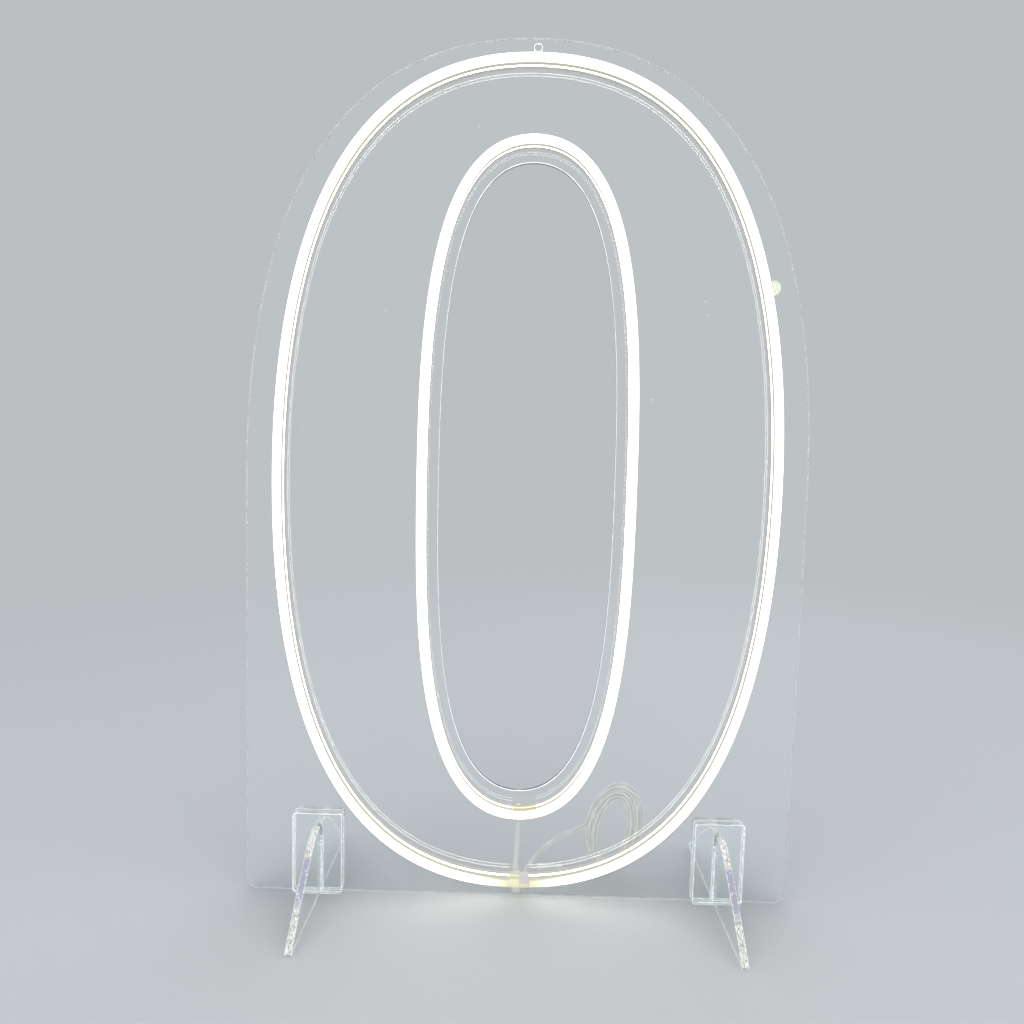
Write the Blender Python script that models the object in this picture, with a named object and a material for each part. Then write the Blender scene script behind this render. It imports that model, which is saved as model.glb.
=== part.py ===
"""Free-standing neon number light: a tall figure zero of silicone light flex on a
clear sheet, held upright by two slide-in feet, with its lead coiled behind it.

Metres, Z up. The sheet stands on the floor with its middle plane at Y zero and
the light facing -Y.
"""

import math

import bmesh
import bpy
from mathutils import Matrix, Vector
from mathutils.geometry import interpolate_bezier

# Clearances
joint_gap = 0.0003
running_gap = 0.0003

# Figure zero, outer stroke, to the middle of the flex
outer_half_width = 0.2237
outer_half_height = 0.3684
outer_top_share = 0.765
outer_side_share = 0.552

# Figure zero, inner stroke, measured in from the outer one
stroke_side_spacing = 0.1293
stroke_top_spacing = 0.0673
stroke_foot_spacing = 0.0659
inner_top_share = 0.963
inner_side_share = 0.441

# Clear sheet, measured out from the outer stroke
sheet_thickness = 0.004
sheet_side_margin = 0.0317
sheet_top_margin = 0.0224
sheet_foot_margin = 0.0198
sheet_corner_radius = 0.010
corner_segments = 6
arch_segments = 26

# Counter of the zero, cut right through the sheet, measured in from the inner stroke
counter_side_inset = 0.0144
counter_top_inset = 0.0153
counter_foot_inset = 0.0173
counter_segments = 16

# Hanging hole and wire holes
hanging_hole_drop = 0.008
hanging_hole_radius = 0.00325
hole_segments = 16
lead_hole_offset = 0.0065
lead_hole_radius = 0.0024
link_hole_radius = 0.0029

# Flex section
flex_width = 0.008
flex_depth = 0.015
diffuser_depth = 0.005
diffuser_edge_radius = 0.0020
diffuser_arc_segments = 3
pocket_width = 0.0056
pocket_depth = 0.0040
tape_width = 0.005
tape_thickness = 0.0004
chip_length = 0.0035
chip_width = 0.0028
chip_thickness = 0.0008
chip_root = 0.0001
chip_pitch = 0.0167
chord_rise = 0.0002
longest_step = 0.060

# Seams at the foot of each stroke
outer_seam_across = 0.003
outer_left_cap_length = 0.009
outer_right_cap_length = 0.009
inner_seam_across = -0.002
inner_left_cap_length = 0.003
inner_right_cap_length = 0.020
cap_steps = 4

# Feet
left_foot_inset = 0.0679
right_foot_inset = 0.0657
pad_width = 0.0465
pad_height = 0.078
pad_thickness = 0.006
pad_corner_radius = 0.0025
pad_corner_segments = 3
fin_thickness = 0.006
fin_height = 0.066
fin_half_depth = 0.100
fin_prong_flat = 0.0045
fin_shoulder_length = 0.015
fin_flank_depth = 0.070
fin_flank_height = 0.030
fin_toe_radius = 0.002
fin_toe_sweep = (-90, 55)
fin_toe_segments = 4
fin_edge_segments = 12
slot_top_height = 0.0515
slot_segments = 8

# Link cable between the strokes
link_width = 0.0047
link_thickness = 0.0018
link_edge_share = 0.55
link_top_across = 0.0010
link_foot_across = -0.0009
link_bend_radius = 0.0036
link_stand_share = 0.25
link_settle_length = 0.0216
link_settle_pull = 0.0108
link_steps = 6
sleeve_across = 0.0003
sleeve_width = 0.0074
sleeve_depth = 0.0030
sleeve_foot_height = 0.0005
sleeve_length = 0.0215
sleeve_edge_radius = 0.0006

# Power lead
lead_radius = 0.00175
lead_step = 0.004
lead_straight = 0.0020
lead_route_shares = (
    (0.010, 0.031),
    (0.054, 0.088),
    (0.119, 0.161),
    (0.212, 0.275),
    (0.302, 0.375),
    (0.438, 0.480),
    (0.589, 0.564),
    (0.764, 0.641),
    (0.909, 0.734),
)
lead_route_backs = (0.0068, 0.0094, 0.0104, 0.0108, 0.0112, 0.0116, 0.0121, 0.0126, 0.0128)

# Coil of the lead, standing on the floor and leaning on the sheet
coil_tilt = math.radians(21)
coil_lean = math.radians(3)
coil_offset = 0.0851
coil_half_width = 0.0288
coil_half_height = 0.0590
coil_width_step = 0.0054
coil_height_step = 0.0068
coil_side_step = 0.0006
coil_drop_step = 0.0012
coil_layer_gap = 0.0046
coil_start_turns = 0.09
coil_end_turns = 4.75
coil_start_depth = 0.45
coil_cross_turns = 0.5
coil_run_step = 0.001
coil_points_a_turn = 24
coil_floor_gap = 0.0002

# Tail of the lead and its socket
tail_length = 0.030
tail_forward = 0.013
tail_steps = 8
socket_radius = 0.0055
socket_length = 0.026
socket_neck_length = 0.010
socket_neck_radius = 0.0030
socket_edge = 0.0006
socket_segments = 24
socket_bore_radius = 0.0032
socket_bore_depth = 0.0095
socket_shell_radius = 0.00275
socket_shell_length = 0.0090
socket_pin_radius = 0.00105
socket_pin_length = 0.0080

# Bumper on the back of the sheet
bumper_inset = 0.0077
bumper_rise = 0.1835
bumper_radius = 0.0065
bumper_thickness = 0.0030
bumper_edge_radius = 0.0015
bumper_segments = 24

# Places that follow from the sizes above
outer_middle_height = outer_half_height + sheet_foot_margin
inner_half_width = outer_half_width - stroke_side_spacing
inner_half_height = outer_half_height - (stroke_top_spacing + stroke_foot_spacing) / 2
inner_foot_height = sheet_foot_margin + stroke_foot_spacing
inner_middle_height = inner_foot_height + inner_half_height
counter_half_width = inner_half_width - counter_side_inset
counter_half_height = inner_half_height - (counter_top_inset + counter_foot_inset) / 2
counter_middle_height = inner_foot_height + counter_foot_inset + counter_half_height
sheet_half_width = outer_half_width + sheet_side_margin
sheet_arch_height = outer_half_height + sheet_top_margin
sheet_height = outer_middle_height + sheet_arch_height
left_foot_across = left_foot_inset - sheet_half_width
right_foot_across = sheet_half_width - right_foot_inset
hanging_hole_height = sheet_height - hanging_hole_drop
lead_hole_across = outer_seam_across + lead_hole_offset
coil_across = lead_hole_across + coil_offset
bumper_across = outer_half_width - bumper_inset
bumper_height = outer_middle_height + bumper_rise
sheet_front = -sheet_thickness / 2
sheet_back = sheet_thickness / 2
flex_back = sheet_front - joint_gap
flex_front = sheet_front - flex_depth
diffuser_back = flex_front + diffuser_depth
body_front = diffuser_back + joint_gap
pocket_floor = body_front + pocket_depth
tape_back = pocket_floor - joint_gap
tape_front = tape_back - tape_thickness
chip_front = tape_front - chip_thickness
pad_near = sheet_thickness / 2 + joint_gap
pad_far = pad_near + pad_thickness
notch_half_depth = pad_far + running_gap
slot_half_width = fin_thickness / 2 + running_gap
slot_spring_height = slot_top_height - slot_half_width
fin_notch_height = slot_spring_height
lead_diameter = 2 * lead_radius
link_foot_height = sleeve_foot_height + sleeve_length + joint_gap
link_back = sheet_back + joint_gap + link_thickness / 2


def clear_scene():
    """Start from an empty scene."""
    for obj in list(bpy.data.objects):
        bpy.data.objects.remove(obj, do_unlink=True)


def material(name, colour, roughness, transmission=0.0, glow=0.0):
    """One plain surface."""
    mat = bpy.data.materials.new(name)
    mat.use_nodes = True
    surface = mat.node_tree.nodes["Principled BSDF"]
    surface.inputs["Base Color"].default_value = (*colour, 1.0)
    surface.inputs["Roughness"].default_value = roughness
    surface.inputs["Transmission Weight"].default_value = transmission
    surface.inputs["Emission Color"].default_value = (*colour, 1.0)
    surface.inputs["Emission Strength"].default_value = glow
    mat.diffuse_color = (*colour, 1.0)
    return mat


def finish_mesh(name, bm, mat, smooth=False):
    """Turn a working mesh into a named object."""
    bmesh.ops.remove_doubles(bm, verts=bm.verts, dist=joint_gap / 100)
    bmesh.ops.recalc_face_normals(bm, faces=bm.faces)
    for face in bm.faces:
        face.smooth = smooth
    mesh = bpy.data.meshes.new(name)
    bm.to_mesh(mesh)
    bm.free()
    mesh.materials.append(mat)
    obj = bpy.data.objects.new(name, mesh)
    bpy.context.collection.objects.link(obj)
    return obj


def arc(centre, radius, start, end, segments):
    """Points on an arc in a plane, angles in degrees."""
    points = []
    for i in range(segments + 1):
        angle = math.radians(start + (end - start) * i / segments)
        points.append((centre[0] + radius * math.cos(angle), centre[1] + radius * math.sin(angle)))
    return points


def rounded_box(half_width, low, high, radius, segments):
    """Outline of a rectangle with round corners, anticlockwise."""
    inner = half_width - radius
    points = arc((-inner, low + radius), radius, 180, 270, segments)
    points += arc((inner, low + radius), radius, 270, 360, segments)
    points += arc((inner, high - radius), radius, 0, 90, segments)
    points += arc((-inner, high - radius), radius, 90, 180, segments)
    return points


def zero_quarter(half_width, half_height, top_share, side_share, segments):
    """Right upper quarter of a figure zero, from its side to its top."""
    side = Vector((half_width, 0, 0))
    side_handle = Vector((half_width, half_height * side_share, 0))
    top_handle = Vector((half_width * top_share, half_height, 0))
    top = Vector((0, half_height, 0))
    points = interpolate_bezier(side, side_handle, top_handle, top, segments + 1)
    return [(p.x, p.y) for p in points]


def zero_outline(half_width, half_height, middle, top_share, side_share, segments):
    """Whole figure zero, anticlockwise from its lowest point."""
    quarter = zero_quarter(half_width, half_height, top_share, side_share, segments)
    rising = [(x, -z) for x, z in reversed(quarter)]
    right = rising[:-1] + quarter
    left = [(-x, z) for x, z in reversed(right)]
    points = right[:-1] + left[:-1]
    return [(x, z + middle) for x, z in points]


def plate(name, outline, holes, low, high, stand, mat):
    """Flat piece cut from sheet: an outline with holes, drawn on one face and pulled through."""
    bm = bmesh.new()
    for loop in [outline] + holes:
        corners = [bm.verts.new(stand(u, v, low)) for u, v in loop]
        for first, second in zip(corners, corners[1:] + corners[:1]):
            bm.edges.new((first, second))
    bmesh.ops.triangle_fill(bm, use_beauty=True, use_dissolve=False, edges=bm.edges)
    pulled = bmesh.ops.extrude_face_region(bm, geom=bm.faces)
    moved = [item for item in pulled["geom"] if isinstance(item, bmesh.types.BMVert)]
    shift = Vector(stand(0, 0, high)) - Vector(stand(0, 0, low))
    bmesh.ops.translate(bm, vec=shift, verts=moved)
    return finish_mesh(name, bm, mat)


def facing(u, v, w):
    """Outline across and up, thickness front to back."""
    return (u, w, v)


def sideways(u, v, w):
    """Outline front to back and up, thickness across."""
    return (w, u, v)


def pull_along(name, frames, profile, mat, smooth=True):
    """Pull a closed profile through a row of frames and close both ends."""
    bm = bmesh.new()
    place, across, deep = frames[0]
    ring = [bm.verts.new(place + across * u + deep * v) for u, v in profile]
    first_end = bm.faces.new(ring)
    edges = list(first_end.edges)
    for place, across, deep in frames[1:]:
        made = bmesh.ops.extrude_edge_only(bm, edges=edges)["geom"]
        edges = [item for item in made if isinstance(item, bmesh.types.BMEdge)]
        fresh = [item for item in made if isinstance(item, bmesh.types.BMVert)]
        partner = {}
        for vert in fresh:
            for edge in vert.link_edges:
                other = edge.other_vert(vert)
                if other in ring:
                    partner[ring.index(other)] = vert
        ring = [partner[i] for i in range(len(profile))]
        for vert, (u, v) in zip(ring, profile):
            vert.co = place + across * u + deep * v
    bm.faces.new(ring)
    return finish_mesh(name, bm, mat, smooth)


def turned(name, profile, origin, axis, mat, segments):
    """Round piece turned from a closed profile of (along, radius) points."""
    bm = bmesh.new()
    axis = Vector(axis)
    out = axis.orthogonal().normalized()
    ring = [bm.verts.new(origin + axis * along + out * radius) for along, radius in profile]
    edges = [bm.edges.new(pair) for pair in zip(ring, ring[1:])]
    bmesh.ops.spin(
        bm, geom=ring + edges, cent=origin, axis=axis,
        angle=math.tau, steps=segments, use_duplicate=False,
    )
    bmesh.ops.remove_doubles(bm, verts=bm.verts, dist=joint_gap / 100)
    bmesh.ops.dissolve_degenerate(bm, edges=bm.edges, dist=joint_gap / 100)
    return finish_mesh(name, bm, mat, True)


def tube(name, points, radius, resolution, mat):
    """Round cord: a bevelled curve with filled ends."""
    curve = bpy.data.curves.new(name, "CURVE")
    curve.dimensions = "3D"
    curve.bevel_depth = radius
    curve.bevel_resolution = resolution
    curve.use_fill_caps = True
    spline = curve.splines.new("POLY")
    spline.points.add(len(points) - 1)
    for point, place in zip(spline.points, points):
        point.co = (*place, 1.0)
    curve.materials.append(mat)
    obj = bpy.data.objects.new(name, curve)
    bpy.context.collection.objects.link(obj)
    return obj


def smooth_route(points, start_direction, end_direction, step):
    """Even points on a smooth curve through the given ones."""
    knots = [Vector(p) for p in points]
    slopes = []
    for i, knot in enumerate(knots):
        if i == 0:
            slopes.append(start_direction.normalized() * (knots[1] - knot).length)
        elif i == len(knots) - 1:
            slopes.append(end_direction.normalized() * (knot - knots[i - 1]).length)
        else:
            slopes.append((knots[i + 1] - knots[i - 1]) / 2)
    dense = [knots[0]]
    for i in range(len(knots) - 1):
        near = knots[i] + slopes[i] / 3
        far = knots[i + 1] - slopes[i + 1] / 3
        dense += interpolate_bezier(knots[i], near, far, knots[i + 1], 40)[1:]
    return evenly(dense, step)


def evenly(dense, step):
    """Points at equal distances along a dense line."""
    lengths = [0.0]
    for first, second in zip(dense, dense[1:]):
        lengths.append(lengths[-1] + (second - first).length)
    count = max(1, round(lengths[-1] / step))
    points = [dense[0]]
    j = 0
    for i in range(1, count):
        wanted = lengths[-1] * i / count
        while lengths[j + 1] < wanted:
            j += 1
        share = (wanted - lengths[j]) / (lengths[j + 1] - lengths[j])
        points.append(dense[j].lerp(dense[j + 1], share))
    return points + [dense[-1]]


class Stroke:
    """One closed stroke of the zero, measured along its length from its lowest point."""

    def __init__(self, half_width, half_height, middle, top_share, side_share):
        outline = zero_outline(half_width, half_height, middle, top_share, side_share, 240)
        self.points = [Vector((x, 0, z)) for x, z in outline + outline[:1]]
        self.lengths = [0.0]
        for first, second in zip(self.points, self.points[1:]):
            self.lengths.append(self.lengths[-1] + (second - first).length)
        self.total = self.lengths[-1]

    def segment(self, along):
        """Segment that holds a length, and the share of the way through it."""
        along = along % self.total
        low, high = 0, len(self.points) - 1
        while high - low > 1:
            middle = (low + high) // 2
            if self.lengths[middle] <= along:
                low = middle
            else:
                high = middle
        share = (along - self.lengths[low]) / (self.lengths[high] - self.lengths[low])
        return low, share

    def frame(self, along):
        """Place, outward direction and backward direction at a length."""
        low, share = self.segment(along)
        place = self.points[low].lerp(self.points[low + 1], share)
        count = len(self.points) - 1
        before = self.points[low] - self.points[(low - 1) % count]
        here = self.points[low + 1] - self.points[low]
        after = self.points[(low + 2) % count] - self.points[low + 1]
        if share < 0.5:
            run = (before + here).lerp(here + here, share * 2)
        else:
            run = (here + here).lerp(here + after, share * 2 - 1)
        run.normalize()
        return place, Vector((run.z, 0, -run.x)), Vector((0, 1, 0))

    def bend(self, along):
        """How sharply the stroke turns at a length, as one over the radius."""
        reach = self.total / 960
        before = self.frame(along - reach)[1]
        after = self.frame(along + reach)[1]
        return before.angle(after) / (2 * reach)

    def stations(self, start, end):
        """Lengths from start to end, closer together where the stroke bends more."""
        fine = 600
        weights = [0.0]
        for i in range(fine):
            along = start + (end - start) * (i + 0.5) / fine
            density = math.sqrt(self.bend(along) / (8 * chord_rise) + 1 / longest_step ** 2)
            weights.append(weights[-1] + density * (end - start) / fine)
        count = math.ceil(weights[-1])
        places = []
        j = 0
        for i in range(count + 1):
            wanted = weights[-1] * i / count
            while j < fine - 1 and weights[j + 1] < wanted:
                j += 1
            share = (wanted - weights[j]) / (weights[j + 1] - weights[j])
            places.append(start + (end - start) * (j + share) / fine)
        return places


def front_rounded_profile(back, front):
    """Flex section with its front corners rounded, as (outwards, backwards) points."""
    half = flex_width / 2
    inner = half - diffuser_edge_radius
    centre = front + diffuser_edge_radius
    right = arc((inner, centre), diffuser_edge_radius, 0, -90, diffuser_arc_segments)
    left = arc((-inner, centre), diffuser_edge_radius, -90, -180, diffuser_arc_segments)
    return [(-half, back), (half, back)] + right + left


def trough_profile():
    """Flex body section: a solid back with a pocket open to the front."""
    half = flex_width / 2
    inner = pocket_width / 2
    return [
        (-half, flex_back), (half, flex_back), (half, body_front), (inner, body_front),
        (inner, pocket_floor), (-inner, pocket_floor), (-inner, body_front), (-half, body_front),
    ]


def flat_profile(width, back, front):
    """Rectangular section."""
    half = width / 2
    return [(-half, back), (half, back), (half, front), (-half, front)]


def build_stroke(label, stroke, seam, left_cap, right_cap, mats):
    """Flex body, diffuser, light tape, chips and end caps of one stroke."""
    start = seam + joint_gap / 2 + right_cap + joint_gap
    end = stroke.total + seam - joint_gap / 2 - left_cap - joint_gap
    frames = [stroke.frame(along) for along in stroke.stations(start, end)]
    pull_along(label + "_flex_body", frames, trough_profile(), mats["silicone"])
    diffuser = front_rounded_profile(diffuser_back, flex_front)
    pull_along(label + "_flex_diffuser", frames, diffuser, mats["diffuser"])
    tape_profile = flat_profile(tape_width, tape_back, tape_front)
    tape = pull_along(label + "_led_tape", frames, tape_profile, mats["tape"], smooth=False)
    solder_chips(tape, stroke, start, end, mats["chip"])
    cap = front_rounded_profile(flex_back, flex_front)
    right_start = seam + joint_gap / 2
    left_start = end + joint_gap
    for side, first, length in (("right", right_start, right_cap), ("left", left_start, left_cap)):
        places = [first + length * i / cap_steps for i in range(cap_steps + 1)]
        cap_frames = [stroke.frame(along) for along in places]
        pull_along(label + "_end_cap_" + side, cap_frames, cap, mats["cap"])


def solder_chips(tape, stroke, start, end, mat):
    """Light chips in a row, joined to the front of their tape."""
    bm = bmesh.new()
    count = int((end - start) / chip_pitch)
    first = start + ((end - start) - (count - 1) * chip_pitch) / 2
    thickness = tape_front - chip_front + chip_root
    for i in range(count):
        place, across, deep = stroke.frame(first + i * chip_pitch)
        along = across.cross(deep)
        centre = place + deep * (chip_front + thickness / 2)
        turn = Matrix((across, deep, along)).transposed().to_4x4()
        size = Matrix.Diagonal((chip_width, thickness, chip_length, 1.0))
        bmesh.ops.create_cube(bm, size=1.0, matrix=Matrix.Translation(centre) @ turn @ size)
    chips = finish_mesh(tape.name + "_chips", bm, mat)
    chips.hide_render = True
    chips.display_type = "WIRE"
    tape.data.materials.append(mat)
    union = tape.modifiers.new("chips", "BOOLEAN")
    union.operation = "UNION"
    union.solver = "EXACT"
    union.material_mode = "TRANSFER"
    union.object = chips


def slot_edge(across):
    """Edge of a slot open at the bottom with a round top, from left to right."""
    left = across - slot_half_width
    right = across + slot_half_width
    top = arc((across, slot_spring_height), slot_half_width, 180, 0, slot_segments)
    return [(left, 0.0)] + top + [(right, 0.0)]


def build_sheet(mat):
    """Clear sheet with its arch, foot slots, counter, hanging hole and wire holes."""
    inset = sheet_half_width - sheet_corner_radius
    radius = sheet_corner_radius
    outline = arc((-inset, radius), radius, 180, 270, corner_segments)
    outline += slot_edge(left_foot_across) + slot_edge(right_foot_across)
    outline += arc((inset, radius), radius, 270, 360, corner_segments)
    quarter = zero_quarter(
        sheet_half_width, sheet_arch_height, outer_top_share, outer_side_share, arch_segments
    )
    right = [(x, z + outer_middle_height) for x, z in quarter]
    left = [(-x, z) for x, z in reversed(right[:-1])]
    outline += right + left
    counter = zero_outline(
        counter_half_width, counter_half_height, counter_middle_height,
        inner_top_share, inner_side_share, counter_segments,
    )
    holes = [
        counter,
        arc((0.0, hanging_hole_height), hanging_hole_radius, 0, 360, hole_segments)[:-1],
        arc(link_hole_place(), link_hole_radius, 0, 360, hole_segments)[:-1],
        arc(lead_hole_place(), lead_hole_radius, 0, 360, hole_segments)[:-1],
    ]
    plate("backboard", outline, holes, sheet_front, sheet_back, facing, mat)


def link_hole_place():
    """Middle of the wire hole behind the inner stroke's seam."""
    return (link_top_across, inner_foot_height)


def lead_hole_place():
    """Middle of the wire hole behind the outer stroke's seam."""
    return (lead_hole_across, sheet_foot_margin)


def build_foot(label, across, pad_mat, fin_mat):
    """Front pad, rear pad and fin of one foot."""
    half = pad_width / 2
    corner = pad_corner_radius
    inset = half - corner
    steps = pad_corner_segments
    outline = arc((across - inset, corner), corner, 180, 270, steps)
    outline += slot_edge(across)
    outline += arc((across + inset, corner), corner, 270, 360, steps)
    outline += arc((across + inset, pad_height - corner), corner, 0, 90, steps)
    outline += arc((across - inset, pad_height - corner), corner, 90, 180, steps)
    plate(label + "_foot_front_pad", outline, [], -pad_far, -pad_near, facing, pad_mat)
    plate(label + "_foot_rear_pad", outline, [], pad_near, pad_far, facing, pad_mat)
    side = fin_thickness / 2
    fin = plate(label + "_foot_fin", fin_outline(), [], -side, side, sideways, fin_mat)
    fin.location.x = across


def fin_outline():
    """Side view of a fin: two toes and a notch that the sheet and pads stand in."""
    flat_end = notch_half_depth + fin_prong_flat
    toe_centre = (fin_half_depth - fin_toe_radius, fin_toe_radius)
    toe = arc(toe_centre, fin_toe_radius, *fin_toe_sweep, fin_toe_segments)
    toe_top = toe[-1]
    edge = interpolate_bezier(
        Vector((*toe_top, 0)), Vector((fin_flank_depth, fin_flank_height, 0)),
        Vector((flat_end + fin_shoulder_length, fin_height, 0)),
        Vector((flat_end, fin_height, 0)), fin_edge_segments + 1,
    )
    rear = toe + [(p.x, p.y) for p in edge[1:]]
    rear += [(notch_half_depth, fin_height), (notch_half_depth, fin_notch_height)]
    front = [(-y, z) for y, z in reversed(rear)]
    return rear + front


def build_link(link_mat, sleeve_mat):
    """Flat cable from the inner stroke's seam down the back to its sleeve."""
    top = link_hole_place()[1]
    radius = link_bend_radius
    back = sheet_back + radius * link_stand_share
    path = [(sheet_front, top)]
    path += [(back + radius * math.sin(a), top - radius * (1 - math.cos(a)))
             for a in (math.radians(90 * i / link_steps) for i in range(link_steps + 1))]
    start = Vector((path[-1][0], path[-1][1], 0))
    end = Vector((link_back, start.y - link_settle_length, 0))
    drop = Vector((0, -link_settle_pull, 0))
    settle = interpolate_bezier(start, start + drop, end - drop, end, link_steps + 1)
    path += [(p.x, p.y) for p in settle[1:]]
    path.append((link_back, link_foot_height))
    fall = path[0][1] - link_foot_height
    frames = []
    for i, (y, z) in enumerate(path):
        before = path[max(i - 1, 0)]
        after = path[min(i + 1, len(path) - 1)]
        run = Vector((0, after[0] - before[0], after[1] - before[1])).normalized()
        share = (path[0][1] - z) / fall
        x = link_top_across + (link_foot_across - link_top_across) * share
        deep = Vector((1, 0, 0)).cross(run)
        frames.append((Vector((x, y, z)), Vector((1, 0, 0)), deep))
    half = link_width / 2
    thick = link_thickness / 2
    inner = half - thick * (1 - link_edge_share)
    edge = thick * link_edge_share
    profile = [
        (-inner, -thick), (inner, -thick), (half, -edge), (half, edge),
        (inner, thick), (-inner, thick), (-half, edge), (-half, -edge),
    ]
    pull_along("link_cable", frames, profile, link_mat)
    low = sleeve_foot_height
    outline = rounded_box(sleeve_width / 2, low, low + sleeve_length, sleeve_edge_radius, 2)
    outline = [(x + sleeve_across, z) for x, z in outline]
    near = sheet_back + joint_gap
    plate("splice_sleeve", outline, [], near, near + sleeve_depth, facing, sleeve_mat)


def coil_shape(turns):
    """Middle of the coiled cord about the coil's own middle, counted from its left side."""
    middle = (coil_start_turns + coil_end_turns - coil_start_depth) / 2
    depth_in = min(turns - coil_start_turns + coil_start_depth, coil_end_turns - turns)
    depth_in = max(depth_in, 0.0)
    half_width = coil_half_width - coil_width_step * depth_in
    half_height = coil_half_height - coil_height_step * depth_in
    swing = max(-1.0, min(1.0, (turns - middle) / (coil_cross_turns / 2)))
    layer = math.sin(swing * math.pi / 2) * coil_layer_gap / 2
    angle = math.tau * turns
    side = -half_width * math.cos(angle) - coil_side_step * depth_in
    rise = half_height * math.sin(angle) - coil_drop_step * depth_in
    across = side * math.cos(coil_lean) + rise * math.sin(coil_lean)
    along = rise * math.cos(coil_lean) - side * math.sin(coil_lean)
    sine = math.sin(coil_tilt)
    cosine = math.cos(coil_tilt)
    return Vector((across, layer * cosine - along * sine, along * cosine + layer * sine))


def coil_turns():
    """Turns at which the coil has its points."""
    total = coil_end_turns - coil_start_turns
    count = round(total * coil_points_a_turn)
    return [coil_start_turns + total * i / count for i in range(count + 1)]


def coil_seat():
    """Place of the coil's middle: the coil stands on the floor and leans on the sheet."""
    shape = [coil_shape(turns) for turns in coil_turns()]
    nearest = sheet_back + joint_gap + lead_radius
    lowest = lead_radius + coil_floor_gap
    return Vector((
        coil_across, nearest - min(place.y for place in shape), lowest - min(place.z for place in shape)
    ))


def coil_run(turns):
    """Direction of the coiled cord."""
    ahead = coil_shape(turns + coil_run_step)
    behind = coil_shape(turns - coil_run_step)
    return (ahead - behind).normalized()


def build_lead(mat, socket_mats):
    """Lead from its hole to the coil, the coil, the tail and the socket."""
    seat = coil_seat()
    turns = [coil_shape(t) + seat for t in coil_turns()]
    start_run = coil_run(coil_start_turns + coil_run_step)
    end_run = Vector((-1, 0, 0))
    joint = turns[0] - start_run * lead_diameter
    lead_end = joint - start_run * joint_gap
    across, height = lead_hole_place()
    straight = Vector((across, sheet_back + lead_straight, height))
    route = [straight]
    for (across_share, rise_share), back in zip(lead_route_shares, lead_route_backs):
        x = across + (joint.x - across) * across_share
        z = height + (joint.z - height) * rise_share
        route.append(Vector((x, sheet_back + back, z)))
    lead_points = smooth_route(route + [lead_end], Vector((0, 1, 0)), start_run, lead_step)
    lead_start = Vector((across, sheet_front, height))
    tube("power_lead", [lead_start] + lead_points, lead_radius, 2, mat)
    coil = [joint] + turns + [turns[-1] + end_run * lead_diameter]
    tube("power_lead_coil", coil, lead_radius, 1, mat)
    tail_start = coil[-1] + end_run * joint_gap
    tail_end = Vector((tail_start.x - tail_length, tail_start.y - tail_forward, socket_radius))
    tail_slope = end_run * tail_length / 3
    tail = interpolate_bezier(
        tail_start, tail_start + tail_slope, tail_end - tail_slope, tail_end, tail_steps + 1
    )
    tube("power_lead_tail", tail, lead_radius, 2, mat)
    build_socket(tail_end + end_run * joint_gap, end_run, socket_mats)
    report_coil(coil)


def report_coil(coil):
    """Print the coil's length and its least gap to itself."""
    length = sum((b - a).length for a, b in zip(coil, coil[1:]))
    least = length
    apart = coil_points_a_turn // 3
    for i in range(len(coil)):
        for j in range(i + apart, len(coil) - 1):
            near = closest_on_segment(coil[i], coil[j], coil[j + 1])
            least = min(least, (near - coil[i]).length - lead_diameter)
    print("coil length %.4f m, least gap to itself %.2f mm" % (length, least * 1000))


def closest_on_segment(point, first, second):
    """Closest point of a straight piece to a point."""
    run = second - first
    share = max(0.0, min(1.0, (point - first).dot(run) / run.length_squared))
    return first + run * share


def build_socket(entry, run, mats):
    """Moulded socket on the floor, its metal shell and its pin."""
    neck = socket_neck_length
    full = neck + socket_length
    bore = full - socket_bore_depth
    body = [
        (0.0, 0.0), (0.0, socket_neck_radius), (neck, socket_neck_radius + socket_edge),
        (neck + socket_edge, socket_radius), (full - socket_edge, socket_radius),
        (full, socket_radius - socket_edge), (full, socket_bore_radius),
        (bore, socket_bore_radius), (bore, 0.0),
    ]
    turned("dc_socket", body, entry, run, mats["moulding"], socket_segments)
    shell_start = bore + joint_gap
    shell_end = shell_start + socket_shell_length
    shell_outer = socket_bore_radius - joint_gap
    shell = [
        (shell_start, 0.0), (shell_start, shell_outer), (shell_end, shell_outer),
        (shell_end, socket_shell_radius), (shell_start + joint_gap, socket_shell_radius),
        (shell_start + joint_gap, 0.0),
    ]
    turned("dc_socket_shell", shell, entry, run, mats["metal"], socket_segments)
    pin_start = shell_start + 2 * joint_gap
    pin_end = pin_start + socket_pin_length
    nose = socket_pin_radius / 2
    pin = [
        (pin_start, 0.0), (pin_start, socket_pin_radius), (pin_end - nose, socket_pin_radius),
        (pin_end, nose), (pin_end, 0.0),
    ]
    turned("dc_socket_pin", pin, entry, run, mats["metal"], socket_segments // 2)


def build_bumper(mat):
    """Round bumper on the back of the sheet."""
    edge = bumper_radius - bumper_edge_radius
    crown = arc((bumper_thickness - bumper_edge_radius, edge), bumper_edge_radius, 90, 0, 3)
    profile = [(0.0, 0.0), (0.0, bumper_radius)] + crown + [(bumper_thickness, 0.0)]
    origin = Vector((bumper_across, sheet_back + joint_gap, bumper_height))
    turned("back_bumper", profile, origin, (0, 1, 0), mat, bumper_segments)


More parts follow.
